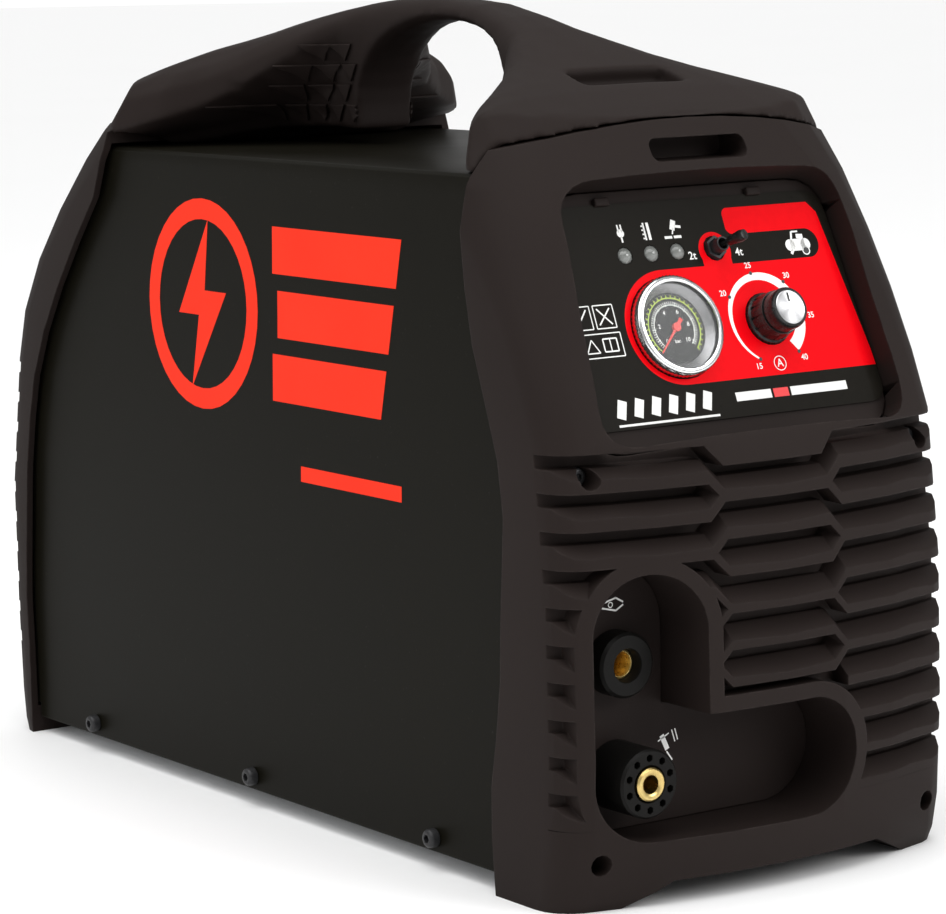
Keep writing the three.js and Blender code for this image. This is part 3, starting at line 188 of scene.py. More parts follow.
def blank(name):
    """A new piece whose mesh is still empty."""
    bpy.ops.object.select_all(action="DESELECT")
    bpy.ops.mesh.primitive_plane_add(size=1)
    piece = bpy.context.object
    piece.name = name
    piece.data.clear_geometry()
    return piece


def trimmed(piece, doomed):
    """Deletes the vertices for which doomed(vertex) is true."""
    alone(piece)
    bpy.ops.object.mode_set(mode="EDIT")
    bpy.ops.mesh.select_mode(type="VERT")
    bpy.ops.mesh.select_all(action="DESELECT")
    bpy.ops.object.mode_set(mode="OBJECT")
    for vertex in piece.data.vertices:
        vertex.select = doomed(vertex)
    bpy.ops.object.mode_set(mode="EDIT")
    bpy.ops.mesh.delete(type="VERT")
    bpy.ops.object.mode_set(mode="OBJECT")


MERGE = 0.02 * MM               # corners of a moulded skin closer than this are one


def smoothed(node, body, angle=32):
    """A copy of a moulded node with its facets merged and shaded as one skin."""
    piece = nodes[node].copy()
    piece.data = nodes[node].data.copy()
    piece.name = "skin_" + node
    del piece["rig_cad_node"]
    bpy.context.collection.objects.link(piece)
    alone(piece)
    bpy.ops.object.mode_set(mode="EDIT")
    bpy.ops.mesh.select_all(action="SELECT")
    bpy.ops.mesh.remove_doubles(threshold=MERGE)
    bpy.ops.object.mode_set(mode="OBJECT")
    bpy.ops.mesh.customdata_custom_splitnormals_clear()
    bpy.ops.object.shade_smooth_by_angle(angle=math.radians(angle))
    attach(piece, body)
    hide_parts(node)
    return piece


moulding = Finish("moulded_plastic", rough=0.55, IOR=1.3, Specular_IOR_Level=0.22)
grain = moulding.noise(1500, 3.0, 0.65)
cloudy = moulding.noise(9, 3.0)
scuffs = moulding.noise(160, 4.0, 0.7)
rubbed = moulding.edges(0.0012, 0.06, 5.0) * moulding.clamp((scuffs - 0.42) * 5)
body_color = moulding.mix(cloudy, (0.0130, 0.0090, 0.0080), (0.0190, 0.0135, 0.0120))
moulding.feed("Base Color", moulding.mix(rubbed * 0.4, body_color, (0.070, 0.055, 0.050)))
moulding.feed("Roughness", 0.50 + grain * 0.14 + cloudy * 0.08 - rubbed * 0.10)
moulding.relief(grain + scuffs * 0.3, 0.32, 0.00012, 0.0009)
for node in ("front_bezel", "rear_bezel", "carry_handle"):
    wears(moulding, smoothed(node, "root"))
handle = bpy.data.objects["skin_carry_handle"]
applied(handle, "REMESH", mode="VOXEL", voxel_size=1.3 * MM)
applied(handle, "SMOOTH", factor=0.5, iterations=9)
bpy.ops.object.shade_smooth()

# Grip ribs in the scooped flanks: rows of small triangles, point down, laid on the handle.
GRIP_ROWS = ((297, (44, 55, 66, 77, 88)), (306, (49, 60, 71)), (315, (44, 54, 63)), (324, (46, 54)))
RIB = {"half": 4.6, "up": 3.4, "down": 4.2}
OUTSIDE = 100 * MM              # the ribs start beyond the handle and are projected onto it
MISSED = 95 * MM                # corners still beyond this found no handle behind them
for side, name in ((-1, "left"), (1, "right")):
    ribs = blank(f"grip_ribs_{name}")
    corners = []
    for z, places in GRIP_ROWS:
        high, low = (z + RIB["up"]) * MM, (z - RIB["down"]) * MM
        for y in places:
            ends = ((y - RIB["half"]) * MM, (y + RIB["half"]) * MM)
            corners += [(side * OUTSIDE, ends[0], high), (side * OUTSIDE, y * MM, low),
                        (side * OUTSIDE, ends[1], high)]
    faces = [(i, i + 1, i + 2)[::-side] for i in range(0, len(corners), 3)]
    ribs.data.from_pydata(corners, [], faces)
    alone(ribs)
    bpy.ops.object.mode_set(mode="EDIT")
    bpy.ops.mesh.select_all(action="SELECT")
    bpy.ops.mesh.subdivide(number_cuts=5)
    bpy.ops.object.mode_set(mode="OBJECT")
    applied(ribs, "SHRINKWRAP", target=handle, wrap_method="PROJECT", use_project_x=True,
            use_negative_direction=side > 0, use_positive_direction=side < 0, offset=0.45 * MM)
    trimmed(ribs, lambda vertex: abs(vertex.co.x) > MISSED)
    applied(ribs, "SOLIDIFY", thickness=0.9 * MM)
    bpy.ops.object.shade_smooth_by_angle(angle=math.radians(40))
    wears(moulding, ribs)
    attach(ribs, "root")
wears(moulding, "control_panel", "connector_plate")


# ---- case cover ----
# One sheet of 1.2 mm steel folded over both sides, powder-coated satin black. The coat has the
# faint orange peel of powder paint, flecks of dust and thin spots on its folds.
paint = Finish("powder_coat", rough=0.34, IOR=1.25, Specular_IOR_Level=0.13)
peel = paint.noise(420, 2.0)
mottle = paint.noise(14, 4.0, 0.6)
dust = paint.clamp((paint.noise(700, 2.0) - 0.69) * 9)
folds = paint.edges(0.0015, 0.03, 6.0)
coat = paint.mix(mottle, (0.0042, 0.0038, 0.0022), (0.0078, 0.0070, 0.0048))
coat = paint.mix(folds * 0.30, coat, (0.060, 0.060, 0.055))
paint.feed("Base Color", paint.mix(dust * 0.18, coat, (0.12, 0.115, 0.105)))
paint.feed("Roughness", 0.30 + mottle * 0.14 + dust * 0.2)
paint.relief(peel, 0.10, 0.00008, 0.0008)
wears(paint, smoothed("case_cover", "root", 25))


# ---- base tray ----
# Zinc-plated sheet, folded, with the crystal pattern that hot zinc leaves as it sets.
zinc = Finish("zinc_plate", rough=0.42, metal=1.0)
crystals = zinc.node("ShaderNodeTexVoronoi", {"feature": "F1"}, {"Vector": zinc.place, "Scale": 130.0})
crystal = Value(zinc, crystals.outputs["Distance"])
zinc.feed("Base Color", zinc.mix(zinc.clamp(crystal * 1.2), (0.46, 0.47, 0.48), (0.62, 0.63, 0.64)))
zinc.feed("Roughness", 0.34 + crystal * 0.22)
zinc.relief(crystal, 0.12, 0.00005, 0.0004)
wears(zinc, "base_tray")


# ---- screws ----
# Black-oxide pan-head screws with a hexagon socket: six along the foot of the sides, four in the
# wells of each bezel. The heads are forged, so their rims are round and the sockets have a floor.
oxide = Finish("black_oxide", rough=0.38, metal=0.4, Specular_IOR_Level=0.3)
smut = oxide.noise(900, 3.0)
oxide.feed("Base Color", oxide.mix(smut, (0.012, 0.012, 0.013), (0.05, 0.05, 0.052)))
oxide.feed("Roughness", 0.30 + smut * 0.22)
oxide.relief(smut, 0.2, 0.00005, 0.0003)


RIM = 0.35                      # rounding of a head's rim, as a share of its height
HEXAGON = 0.48                  # radii of the socket and the shank, as shares of the head's
SHANK = 0.45
SUNK = 0.1 * MM                 # the shank starts this far inside the head


def forged_screw(node, axis, outward, head):
    """A pan head with a rounded rim and a hexagon socket, over its plain shank."""
    low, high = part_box(node)
    middle = (low + high) / 2
    ends = (low[axis], high[axis])
    tip, top = ends if outward > 0 else ends[::-1]
    radius = (high[(axis + 1) % 3] - low[(axis + 1) % 3]) / 2
    bpy.ops.mesh.primitive_cylinder_add(vertices=24, radius=radius, depth=head, location=(0, 0, -head / 2))
    piece = bpy.context.object
    piece.name = "forged_" + node
    bpy.ops.object.mode_set(mode="EDIT")
    bpy.ops.mesh.select_mode(type="FACE")
    bpy.ops.mesh.select_all(action="DESELECT")
    bpy.ops.object.mode_set(mode="OBJECT")
    for face in piece.data.polygons:
        face.select = face.normal.z > 0.9
    bpy.ops.object.mode_set(mode="EDIT")
    bpy.ops.mesh.bevel(offset=head * RIM, segments=3, affect="EDGES")
    bpy.ops.object.mode_set(mode="OBJECT")
    bpy.ops.mesh.primitive_cylinder_add(vertices=6, radius=radius * HEXAGON, depth=head, location=(0, 0, 0))
    socket = bpy.context.object
    applied(piece, "BOOLEAN", object=socket, operation="DIFFERENCE")
    bpy.data.objects.remove(socket)
    shank = abs(top - tip) - head
    bpy.ops.mesh.primitive_cylinder_add(
        vertices=16, radius=radius * SHANK, depth=shank, location=(0, 0, SUNK - head - shank / 2))
    piece.select_set(True)
    bpy.context.view_layer.objects.active = piece
    bpy.ops.object.join()
    along = Vector([outward if i == axis else 0 for i in range(3)])
    turn = Vector((0, 0, 1)).rotation_difference(along).to_matrix().to_4x4()
    seat = middle.copy()
    seat[axis] = top
    piece.data.transform(Matrix.Translation(seat) @ turn @ piece.matrix_world)
    piece.matrix_world = Matrix.Identity(4)
    alone(piece)
    bpy.ops.object.shade_smooth_by_angle(angle=math.radians(35))
    wears(oxide, piece)
    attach(piece, "root")
    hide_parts(node)


for number in (1, 2, 3):
    forged_screw(f"case_screw_left_{number}", 0, -1, 4.2 * MM)
    forged_screw(f"case_screw_right_{number}", 0, 1, 4.2 * MM)
for corner in ("low_left", "low_right", "high_left", "high_right"):
    forged_screw(f"front_screw_{corner}", 1, -1, 3 * MM)
    forged_screw(f"rear_screw_{corner}", 1, 1, 3 * MM)


# ---- earth socket and torch connector ----
# Glass-filled black bodies, glossier than the bezel, with turned brass contacts that show the
# lathe's fine rings and a little tarnish where the plugs do not wipe them.
connector_black = Finish("connector_body", rough=0.3, IOR=1.3, Specular_IOR_Level=0.2)
fleck = connector_black.noise(600, 3.0)
connector_black.feed("Base Color", connector_black.mix(
    fleck, (0.0035, 0.0033, 0.0030), (0.0080, 0.0074, 0.0068)))
connector_black.feed("Roughness", 0.24 + fleck * 0.2)
connector_black.relief(fleck, 0.15, 0.00006, 0.0004)
wears(connector_black, smoothed("earth_socket_body", "root", 40),
      smoothed("torch_connector_body", "root", 40))

brass = Finish("turned_brass", rough=0.25, metal=1.0)
tarnish = brass.noise(380, 4.0, 0.6)
rings = brass.noise(2600, 1.0)
brass.feed("Base Color", brass.mix(tarnish, (0.42, 0.28, 0.085), (0.80, 0.62, 0.26)))
brass.feed("Roughness", 0.16 + tarnish * 0.26)
brass.relief(rings, 0.12, 0.00004, 0.0003)
wears(brass, smoothed("earth_socket_contact", "root", 40),
      smoothed("torch_connector_contact", "root", 40))


# ---- printed label ----
# A polycarbonate film, printed on its back in black, red and white and laminated to a thin plate.
# The red field runs round the gauge, the knob and the toggle, with a slanted bar above it that
# leaves a black pill open for the pictogram.
LEAN = math.radians(22.5)
PANEL_Y, PANEL_Z = -209.4, 180  # foot of the panel's face, where its own x and v are nought
PANEL = Matrix.Translation((0, PANEL_Y * MM, PANEL_Z * MM)) @ Matrix.Rotation(-LEAN, 4, "X")
LABEL_FRONT = -0.85 * MM


def on_panel(finish, x=0.0, v=0.0):
    """How far a point is across the panel and up its slope from (x, v), in millimetres."""
    axes = finish.node("ShaderNodeSeparateXYZ", {}, {0: finish.place})
    back = Value(finish, axes.outputs["Y"]) * 1000 - PANEL_Y
    rise = Value(finish, axes.outputs["Z"]) * 1000 - PANEL_Z
    return (Value(finish, axes.outputs["X"]) * 1000 - x,
            back * math.sin(LEAN) + rise * math.cos(LEAN) - v)


label = Finish("printed_film", rough=0.3, IOR=1.25, Specular_IOR_Level=0.1)
across, upslope = on_panel(label)


def far(x, v):
    """Distance on the label from one point, in millimetres."""
    return ((across - x) ** 2 + (upslope - v) ** 2) ** 0.5


def between(value, low, high):
    return (value > low) & (value < high)


# the red field's left end is round, and its right edge leans with the label's
FIELD = {"low": 19.7, "high": 67.0, "left": -21.8}
TOGGLE = {"x": 7.6, "v": 73.0, "round": 7.9, "left": 0.4, "right": 14.8, "low": 60}
BAR = {"left": 15.7, "high": 90.4, "inset": 18.9, "corners": (82.6, 87.2), "round": 3.3}
PILL = {"high": 79.3, "right": 55}
right_edge = across + upslope * 0.157 < 77.6
bar_slant = across + upslope * 0.9 < 141.5
field = between(upslope, FIELD["low"], FIELD["high"]) & (across > FIELD["left"]) & right_edge
field = field | (far(FIELD["left"], (FIELD["low"] + FIELD["high"]) / 2) < (FIELD["high"] - FIELD["low"]) / 2)
stem = between(upslope, TOGGLE["low"], TOGGLE["v"]) & between(across, TOGGLE["left"], TOGGLE["right"])
field = field | (far(TOGGLE["x"], TOGGLE["v"]) < TOGGLE["round"]) | stem
bar = between(upslope, FIELD["high"], BAR["high"]) & (across > BAR["left"]) & right_edge & bar_slant
bar_end = (far(BAR["inset"], BAR["corners"][0]) < BAR["round"]) \
    | (far(BAR["inset"], BAR["corners"][1]) < BAR["round"]) \
    | (across > BAR["inset"]) | between(upslope, *BAR["corners"])
pill = (between(upslope, FIELD["high"], PILL["high"]) & (across < PILL["right"])) \
    | (far(PILL["right"], (FIELD["high"] + PILL["high"]) / 2) < (PILL["high"] - FIELD["high"]) / 2)
field = field | (bar & bar_end & (1 - pill))
ink = label.noise(260, 3.0)
red = label.mix(ink, (0.70, 0.0010, 0.0045), (0.82, 0.0020, 0.0070))
black = label.mix(ink, (0.0075, 0.0065, 0.0048), (0.0115, 0.0100, 0.0080))

# the white band round the knob swells from its first mark to its last
DIAL = (25.0, 43.6)
FIRST, LAST = -152, 142         # degrees from straight up the slope
clockwise = label.maths("ARCTAN2", across - DIAL[0], upslope - DIAL[1]) * (180 / math.pi)
swell = (clockwise - FIRST) / (LAST - FIRST)
reach = far(*DIAL)
scale_arc = between(clockwise, FIRST, LAST) & (reach < 19.2 - swell * 0.5) & (reach > 18.5 - swell * 5.2)
white = (0.86, 0.86, 0.84)
printed = label.mix(field, black, red)
label.feed("Base Color", label.mix(scale_arc, printed, white))
label.feed("Roughness", 0.24 + ink * 0.12)
label.relief(label.noise(900, 2.0), 0.05, 0.00004)
wears(label, "panel_label")


# ---- print on the label: numbers, pictograms and marks ----
# The same screen print, laid on as a film of ink a few hundredths of a millimetre thick.
ink_white = Finish("white_ink", (0.80, 0.80, 0.78), 0.45)
speck = ink_white.noise(500, 3.0)
ink_white.feed("Base Color", ink_white.mix(speck, (0.72, 0.72, 0.70), (0.86, 0.86, 0.84)))
ink_white.feed("Roughness", 0.38 + speck * 0.14)
ink_black = Finish("black_ink", (0.01, 0.01, 0.01), 0.4)
ink_black.feed("Roughness", 0.34 + ink_black.noise(500, 3.0) * 0.14)
INK = 0.06 * MM
UPRIGHT = Matrix.Rotation(math.pi / 2, 4, "X")      # turns what is drawn flat to face forward


def finish_print(piece, name, finish, matrix):
    """Names a print, lays it where it belongs and gives it its ink."""
    piece.name = name
    piece.data.transform(matrix @ piece.matrix_world)
    piece.matrix_world = Matrix.Identity(4)
    wears(finish, piece)
    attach(piece, "root")
    return piece


def figures(name, text, x, v, size, front=LABEL_FRONT, slot="panel_label"):
    """Numbers or letters, centred on (x, v) of the panel and size mm high."""
    bpy.ops.object.select_all(action="DESELECT")
    bpy.ops.object.text_add(location=(0, 0, 0))
    words = bpy.context.object
    words.data.body = text
    words.data.size = size * MM
    words.data.extrude = INK / 2
    words.data.offset = 0.012 * size * MM
    words.data.align_x = "CENTER"
    words.data.align_y = "CENTER"
    alone(words)
    bpy.ops.object.convert(target="MESH")
    place = PANEL @ Matrix.Translation((x * MM, front - INK, v * MM)) @ UPRIGHT
    finish_print(bpy.context.object, name, ink_white, place)


def shape(corners):
    """A flat mark with straight edges between (x, v) corners."""
    count = len(corners)
    piece = blank("mark")
    piece.data.from_pydata(
        [(x * MM, y * INK / 2, v * MM) for y in (-1, 1) for x, v in corners], [],
        [tuple(range(count)), tuple(range(2 * count - 1, count - 1, -1))]
        + [(i, i + count, (i + 1) % count + count, (i + 1) % count) for i in range(count)])
    alone(piece)
    bpy.ops.object.mode_set(mode="EDIT")
    bpy.ops.mesh.select_all(action="SELECT")
    bpy.ops.mesh.normals_make_consistent(inside=False)
    bpy.ops.object.mode_set(mode="OBJECT")
    return piece


def line(x0, v0, x1, v1, width):
    """A straight stroke with square ends."""
    bpy.ops.mesh.primitive_cube_add(size=1)
    piece = bpy.context.object
    slope = Matrix.Rotation(-math.atan2(v1 - v0, x1 - x0), 4, "Y")
    stretch = Matrix.Diagonal((math.hypot(x1 - x0, v1 - v0) * MM, INK, width * MM, 1))
    middle = Matrix.Translation(((x0 + x1) / 2 * MM, 0, (v0 + v1) / 2 * MM))
    piece.data.transform(middle @ slope @ stretch)
    return piece


def disc(x, v, radius, width=0):
    """A round dot, or a ring of the given width inside the radius."""
    bpy.ops.mesh.primitive_cylinder_add(vertices=40, radius=radius * MM, depth=INK)
    piece = bpy.context.object
    if width:
        bpy.ops.object.mode_set(mode="EDIT")
        bpy.ops.mesh.select_all(action="DESELECT")
        bpy.ops.object.mode_set(mode="OBJECT")
        for face in piece.data.polygons:
            face.select = abs(face.normal.z) > 0.9
        bpy.ops.object.mode_set(mode="EDIT")
        bpy.ops.mesh.inset(thickness=width * MM, depth=0, use_individual=True)
        bpy.ops.mesh.bridge_edge_loops()
        bpy.ops.object.mode_set(mode="OBJECT")
    piece.data.transform(Matrix.Translation((x * MM, 0, v * MM)) @ UPRIGHT)
    return piece


MARKERS = {"shape": shape, "line": line, "disc": disc, "ring": disc}


def marks(name, parts, finish=ink_white, matrix=PANEL, front=LABEL_FRONT, slot="panel_label"):
    """Shapes, lines, discs and rings printed as one mark; each part is a kind and its sizes in mm."""
    made = []
    for kind, *sizes in parts:
        bpy.ops.object.select_all(action="DESELECT")
        made.append(MARKERS[kind](*sizes))
    bpy.ops.object.select_all(action="DESELECT")
    for piece in made:
        piece.select_set(True)
    bpy.context.view_layer.objects.active = made[0]
    if len(made) > 1:
        bpy.ops.object.join()
    place = matrix @ Matrix.Translation((0, front - INK, 0))
    return finish_print(bpy.context.object, name, finish, place)


def round_dial(centre, radius, degrees):
    """The place on a dial at an angle measured clockwise from straight up the slope."""
    out = math.radians(degrees)
    return centre[0] + radius * math.sin(out), centre[1] + radius * math.cos(out)


AMPS = (("15", -152), ("20", -59), ("25", -8), ("30", 42), ("35", 92), ("40", 143))
for amps, angle in AMPS:
    figures("amps_" + amps, amps, *round_dial(DIAL, 22.3, angle), 3.4)
    marks("dot_" + amps, [("disc", *round_dial(DIAL, 19, angle), 0.75)], ink_black, front=LABEL_FRONT - INK)
figures("amps_sign", "A", 25.3, 24.4, 4.6)
marks("amps_ring", [("ring", 25.3, 24.4, 3.1, 0.35)])
figures("trigger_two", "2t", -4.2, 71.6, 4.6)
figures("trigger_four", "4t", 19.4, 71.6, 4.6)
marks("icon_power", [("disc", -36.5, 83.2, 1.7), ("line", -37.3, 83.5, -37.3, 86.8, 0.7),
                     ("line", -35.7, 83.5, -35.7, 86.8, 0.7), ("line", -36.5, 82, -36.4, 79.4, 0.8)])
marks("icon_thermal", [("line", -24.6, 79.6, -24.6, 86.8, 0.8), ("line", -22.6, 79.6, -22.6, 86.8, 1.3)]
      + [("line", -25.9, 80.4 + 1.7 * k, -24.6, 80.4 + 1.7 * k, 0.6) for k in range(4)])
marks("icon_torch", [("line", -15.5, 80.0, -11.8, 80.0, 1.1), ("line", -10.9, 80.0, -7.2, 80.0, 1.1),
                     ("line", -11.3, 81.2, -10.4, 83.6, 0.6), ("line", -11.0, 83.0, -9.4, 86.9, 2.4),
                     ("line", -9.3, 84.4, -6.4, 84.0, 1.1)])
marks("icon_compressor", [("line", 46.6, 72.6, 54.0, 72.6, 5.0), ("disc", 46.4, 72.6, 2.5),
                          ("disc", 54.2, 72.6, 2.5), ("ring", 53.8, 70.0, 2.0, 0.5),
                          ("line", 47.6, 75, 48.4, 78.2, 0.9), ("line", 48.4, 78.2, 51.8, 78.2, 0.7),
                          ("line", 50.4, 76.2, 53.8, 76.0, 1.9), ("line", 46.0, 68.9, 47.0, 70.4, 1.3)])
marks("icon_compressor_wheel", [("disc", 53.8, 70.0, 1.3)], ink_black, front=LABEL_FRONT - INK)
marks("rating_stripes", [("line", -58.6 + 8.4 * k, 9.0, -56.2 + 8.4 * k, 16.2, 4.2) for k in range(6)])
marks("rating_rule", [("line", -60.5, 6.2, -11, 6.2, 0.9)])
marks("name_bar", [("line", -1, 12.6, 17, 12.6, 3.6), ("line", 27, 12.6, 56, 12.6, 3.6)])
marks("name_bar_middle", [("line", 18.2, 12.6, 25.8, 12.6, 3.6)],
      Finish("red_ink", (0.72, 0.004, 0.008), 0.4))


def outline(x0, v0, x1, v1, width=0.45):
    """The four lines of a box between two corners."""
    return [("line", x0, v0, x1, v0, width), ("line", x0, v1, x1, v1, width),
            ("line", x0, v0, x0, v1, width), ("line", x1, v0, x1, v1, width)]


marks("service_boxes", outline(-59, 45.6, -49.6, 55) + outline(-70, 45.6, -60.8, 55)
      + outline(-70, 34, -49, 43.6)
      + [("line", -57.4, 47, -51.2, 53.6, 0.6), ("line", -57.4, 53.6, -51.2, 47, 0.6),
         ("line", -68, 47, -62.6, 53.6, 0.6), ("line", -66.6, 36, -63.5, 41.4, 0.5),
         ("line", -60.4, 36, -63.5, 41.4, 0.5), ("line", -66.6, 36, -60.4, 36, 0.5)]
      + outline(-58, 36.2, -51.4, 41.4, 0.6) + [("line", -54.7, 36.2, -54.7, 41.4, 0.5)])


# ---- label clips ----
# Two tabs moulded on the fascia's upper lip, under which the label's top edge is pushed.
for name, x in (("clip_left", -42.3), ("clip_right", 33.8)):
    bpy.ops.object.select_all(action="DESELECT")
    bpy.ops.mesh.primitive_cube_add(size=1)
    clip = bpy.context.object
    clip.name = name
    clip.data.transform(PANEL @ Matrix.Translation((x * MM, -1.2 * MM, 96.4 * MM))
                        @ Matrix.Diagonal((7 * MM, 2.2 * MM, 3.4 * MM, 1)))
    alone(clip)
    bpy.ops.object.mode_set(mode="EDIT")
    bpy.ops.mesh.select_all(action="SELECT")
    bpy.ops.mesh.bevel(offset=0.5 * MM, segments=3, affect="EDGES")
    bpy.ops.object.mode_set(mode="OBJECT")
    bpy.ops.object.shade_smooth_by_angle(angle=math.radians(40))
    wears(moulding, clip)
    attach(clip, "root")


# ---- pictograms beside the sockets ----
# Small white prints on the recess back plate: an earth clamp over its socket, a torch by the other.
RECESS = Matrix.Translation((0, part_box("connector_plate")[0].y, 0))
marks("icon_clamp", [("line", -70, 116.2, -60, 118.6, 0.7), ("line", -70, 116.0, -60, 113.6, 0.7),
                     ("line", -60, 118.6, -56.4, 116.6, 0.7), ("line", -60, 113.6, -56.4, 115.6, 0.7),
                     ("ring", -62.6, 116.1, 1.2, 0.4)], matrix=RECESS, front=0)
marks("icon_handtorch", [("line", -38.4, 61, -35.6, 55, 2.2), ("line", -36.0, 54.2, -33.2, 50.4, 0.6),
                         ("line", -40.2, 58.8, -34.8, 61.4, 0.5), ("line", -33.4, 62.6, -31.8, 57.6, 0.5),
                         ("line", -31.8, 62.8, -30.4, 58.2, 0.5)], matrix=RECESS, front=0)


# ---- badge on the case sides ----
# A printed vinyl badge in signal red: a ring with a spark in it, three bars beside it and a
# thin rule below them.
vinyl = Finish("red_vinyl", (0.70, 0.012, 0.004), 0.4, IOR=1.25, Specular_IOR_Level=0.13)
fade = vinyl.noise(30, 4.0)
vinyl.feed("Base Color", vinyl.mix(fade, (0.78, 0.028, 0.010), (0.90, 0.038, 0.014)))
vinyl.feed("Roughness", 0.3 + vinyl.noise(350, 3.0) * 0.16)
vinyl.relief(vinyl.noise(420, 2.0), 0.06, 0.00005)
CREASE, CREASE_X, TOP_X, TOP_Z = 135, 93.0, 89.3, 279


def side_matrix(side):
    """Maps (x along the side, 0, z up) of a mark to the upper, slightly leaning half of a case side."""
    lean = math.atan2(CREASE_X - TOP_X, TOP_Z - CREASE)
    out = Vector((side * math.cos(lean), 0, math.sin(lean)))
    up = Vector((-side * math.sin(lean), 0, math.cos(lean)))
    along = Vector((0, side, 0))
    grid = Matrix((along, -out, up)).transposed().to_4x4()
    return Matrix.Translation((side * CREASE_X * MM, 0, CREASE * MM)) @ grid


BADGE = (52, 82)                # middle of the ring: along the side, and up from the crease
SPARK = ((5, 37), (-20, -5), (-3, -5), (-9, -37), (20, 6), (2, 6))
BARS = ((6, 104, 119), (10, 98.5, 92), (6, 93, 65))       # start, end and upper edge of each
BAR_HEIGHT, BAR_RAKE = 20, 4
for side, name in ((-1, "left"), (1, "right")):
    mirror = -side
    middle = -mirror * BADGE[0]
    on_side = (vinyl, side_matrix(side), 0, "case_paint")
    bars = [((start, top), (end, top), (end - BAR_RAKE, top - BAR_HEIGHT), (start, top - BAR_HEIGHT))
            for start, end, top in BARS]
    marks(f"badge_ring_{name}", [("ring", middle, BADGE[1], 46, 9)], *on_side)
    marks(f"badge_spark_{name}", [("shape", [(x + middle, v + BADGE[1]) for x, v in SPARK])], *on_side)
    marks(f"badge_bars_{name}", [("shape", [(mirror * x, v) for x, v in bar]) for bar in bars], *on_side)
    marks(f"badge_rule_{name}", [("line", mirror * 28, 16, mirror * 104, 16, 6.5)], *on_side)


# ---- pressure gauge ----
# A steel-cased gauge: printed dial with a white bar scale and an outer green one, a red needle,
# a flat glass and a bright ring that is knurled round its side and rolled over at the front.
GAUGE = (-22.0, 43.0)
dial = Finish("gauge_dial", rough=0.45, IOR=1.3, Specular_IOR_Level=0.2)
dial_x, dial_v = on_panel(dial, *GAUGE)
radius = (dial_x ** 2 + dial_v ** 2) ** 0.5
bearing = dial.maths("ARCTAN2", dial_x, dial_v) * (180 / math.pi)
SCALE_END, STEP, OUTER_STEP = 136, 27, 19.4      # degrees
on_scale = between(bearing, -SCALE_END, SCALE_END)


def ticks(step, width):
    """Marks every so many degrees, as wide as the given share of the step."""
    share = dial.maths("FRACT", (bearing + 360 + step / 2) / step)
    return abs(share - 0.5) < width / 2


fine = ticks(STEP / 5, 0.3) & between(radius, 9.6, 11.0) & on_scale
coarse = ticks(STEP, 0.09) & between(radius, 9.0, 11.0) & on_scale
band = between(radius, 9.4, 9.75) & on_scale
outer = (ticks(OUTER_STEP / 2, 0.2) & between(radius, 12.3, 13.6) & on_scale) \
    | (between(radius, 12.2, 12.6) & on_scale)
haze = dial.noise(200, 3.0)
face = dial.mix(haze, (0.0040, 0.0045, 0.0045), (0.0085, 0.0090, 0.0090))
face = dial.mix(fine | coarse | band, face, (0.78, 0.80, 0.76))
dial.feed("Base Color", dial.mix(outer, face, (0.55, 0.72, 0.08)))
dial.feed("Roughness", 0.36 + haze * 0.12)
wears(dial, "gauge_dial")
DIAL_FRONT = -0.62 * MM
for number in range(0, 11, 2):
    figures(f"gauge_{number}", str(number), *round_dial(GAUGE, 7.2, -135 + STEP * number), 2.5,
            DIAL_FRONT, "gauge_dial")
figures("gauge_unit", "bar", GAUGE[0], GAUGE[1] - 5.4, 2.1, DIAL_FRONT, "gauge_dial")

needle_red = Finish("needle_red", (0.75, 0.02, 0.01), 0.4)
needle_red.feed("Roughness", 0.34 + needle_red.noise(600, 2.0) * 0.14)
wears(needle_red, "gauge_needle")

black_case = Finish("gauge_case", rough=0.45)
matt = black_case.noise(500, 2.0)
black_case.feed("Base Color", black_case.mix(matt, (0.010, 0.010, 0.010), (0.022, 0.022, 0.022)))
black_case.feed("Roughness", 0.38 + matt * 0.14)
wears(black_case, "gauge_case")

glass = Finish("gauge_glass", (0.9, 0.92, 0.92), 0.05, Alpha=0.05, Specular_IOR_Level=0.5)
smear = glass.noise(60, 3.0)
glass.feed("Roughness", 0.03 + smear * 0.05)
wears(glass, "gauge_lens")

chrome = Finish("bright_ring", (0.80, 0.81, 0.82), 0.16, 1.0)
buffed = chrome.noise(250, 4.0)
chrome.feed("Base Color", chrome.mix(buffed, (0.62, 0.63, 0.64), (0.86, 0.87, 0.88)))
chrome.feed("Roughness", 0.10 + buffed * 0.16)
chrome.relief(buffed, 0.05, 0.00004)


WELD = 0.005 * MM               # joins the first and last turn of a spun piece


def spun(name, profile, steps, x, v, body, slot, finish, angle=35):
    """A turned piece on the panel: (radius, forward) corners, spun round the panel's own axis."""
    piece = blank(name)
    corners = [(r * MM, 0, f * MM) for r, f in profile]
    piece.data.from_pydata(corners, [(i, i + 1) for i in range(len(corners) - 1)], [])
    alone(piece)
    bpy.ops.object.mode_set(mode="EDIT")
    bpy.ops.mesh.select_all(action="SELECT")
    bpy.ops.mesh.spin(steps=steps, angle=2 * math.pi, center=(0, 0, 0), axis=(0, 0, 1))
    bpy.ops.mesh.select_all(action="SELECT")
    bpy.ops.mesh.remove_doubles(threshold=WELD)
    bpy.ops.mesh.normals_make_consistent(inside=False)
    bpy.ops.object.mode_set(mode="OBJECT")
    bpy.ops.object.shade_smooth_by_angle(angle=math.radians(angle))
    # the spin axis Z is turned to point out of the panel's face
    piece.data.transform(PANEL @ Matrix.Translation((x * MM, 0, v * MM)) @ UPRIGHT)
    wears(finish, piece)
    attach(piece, body)
    return piece


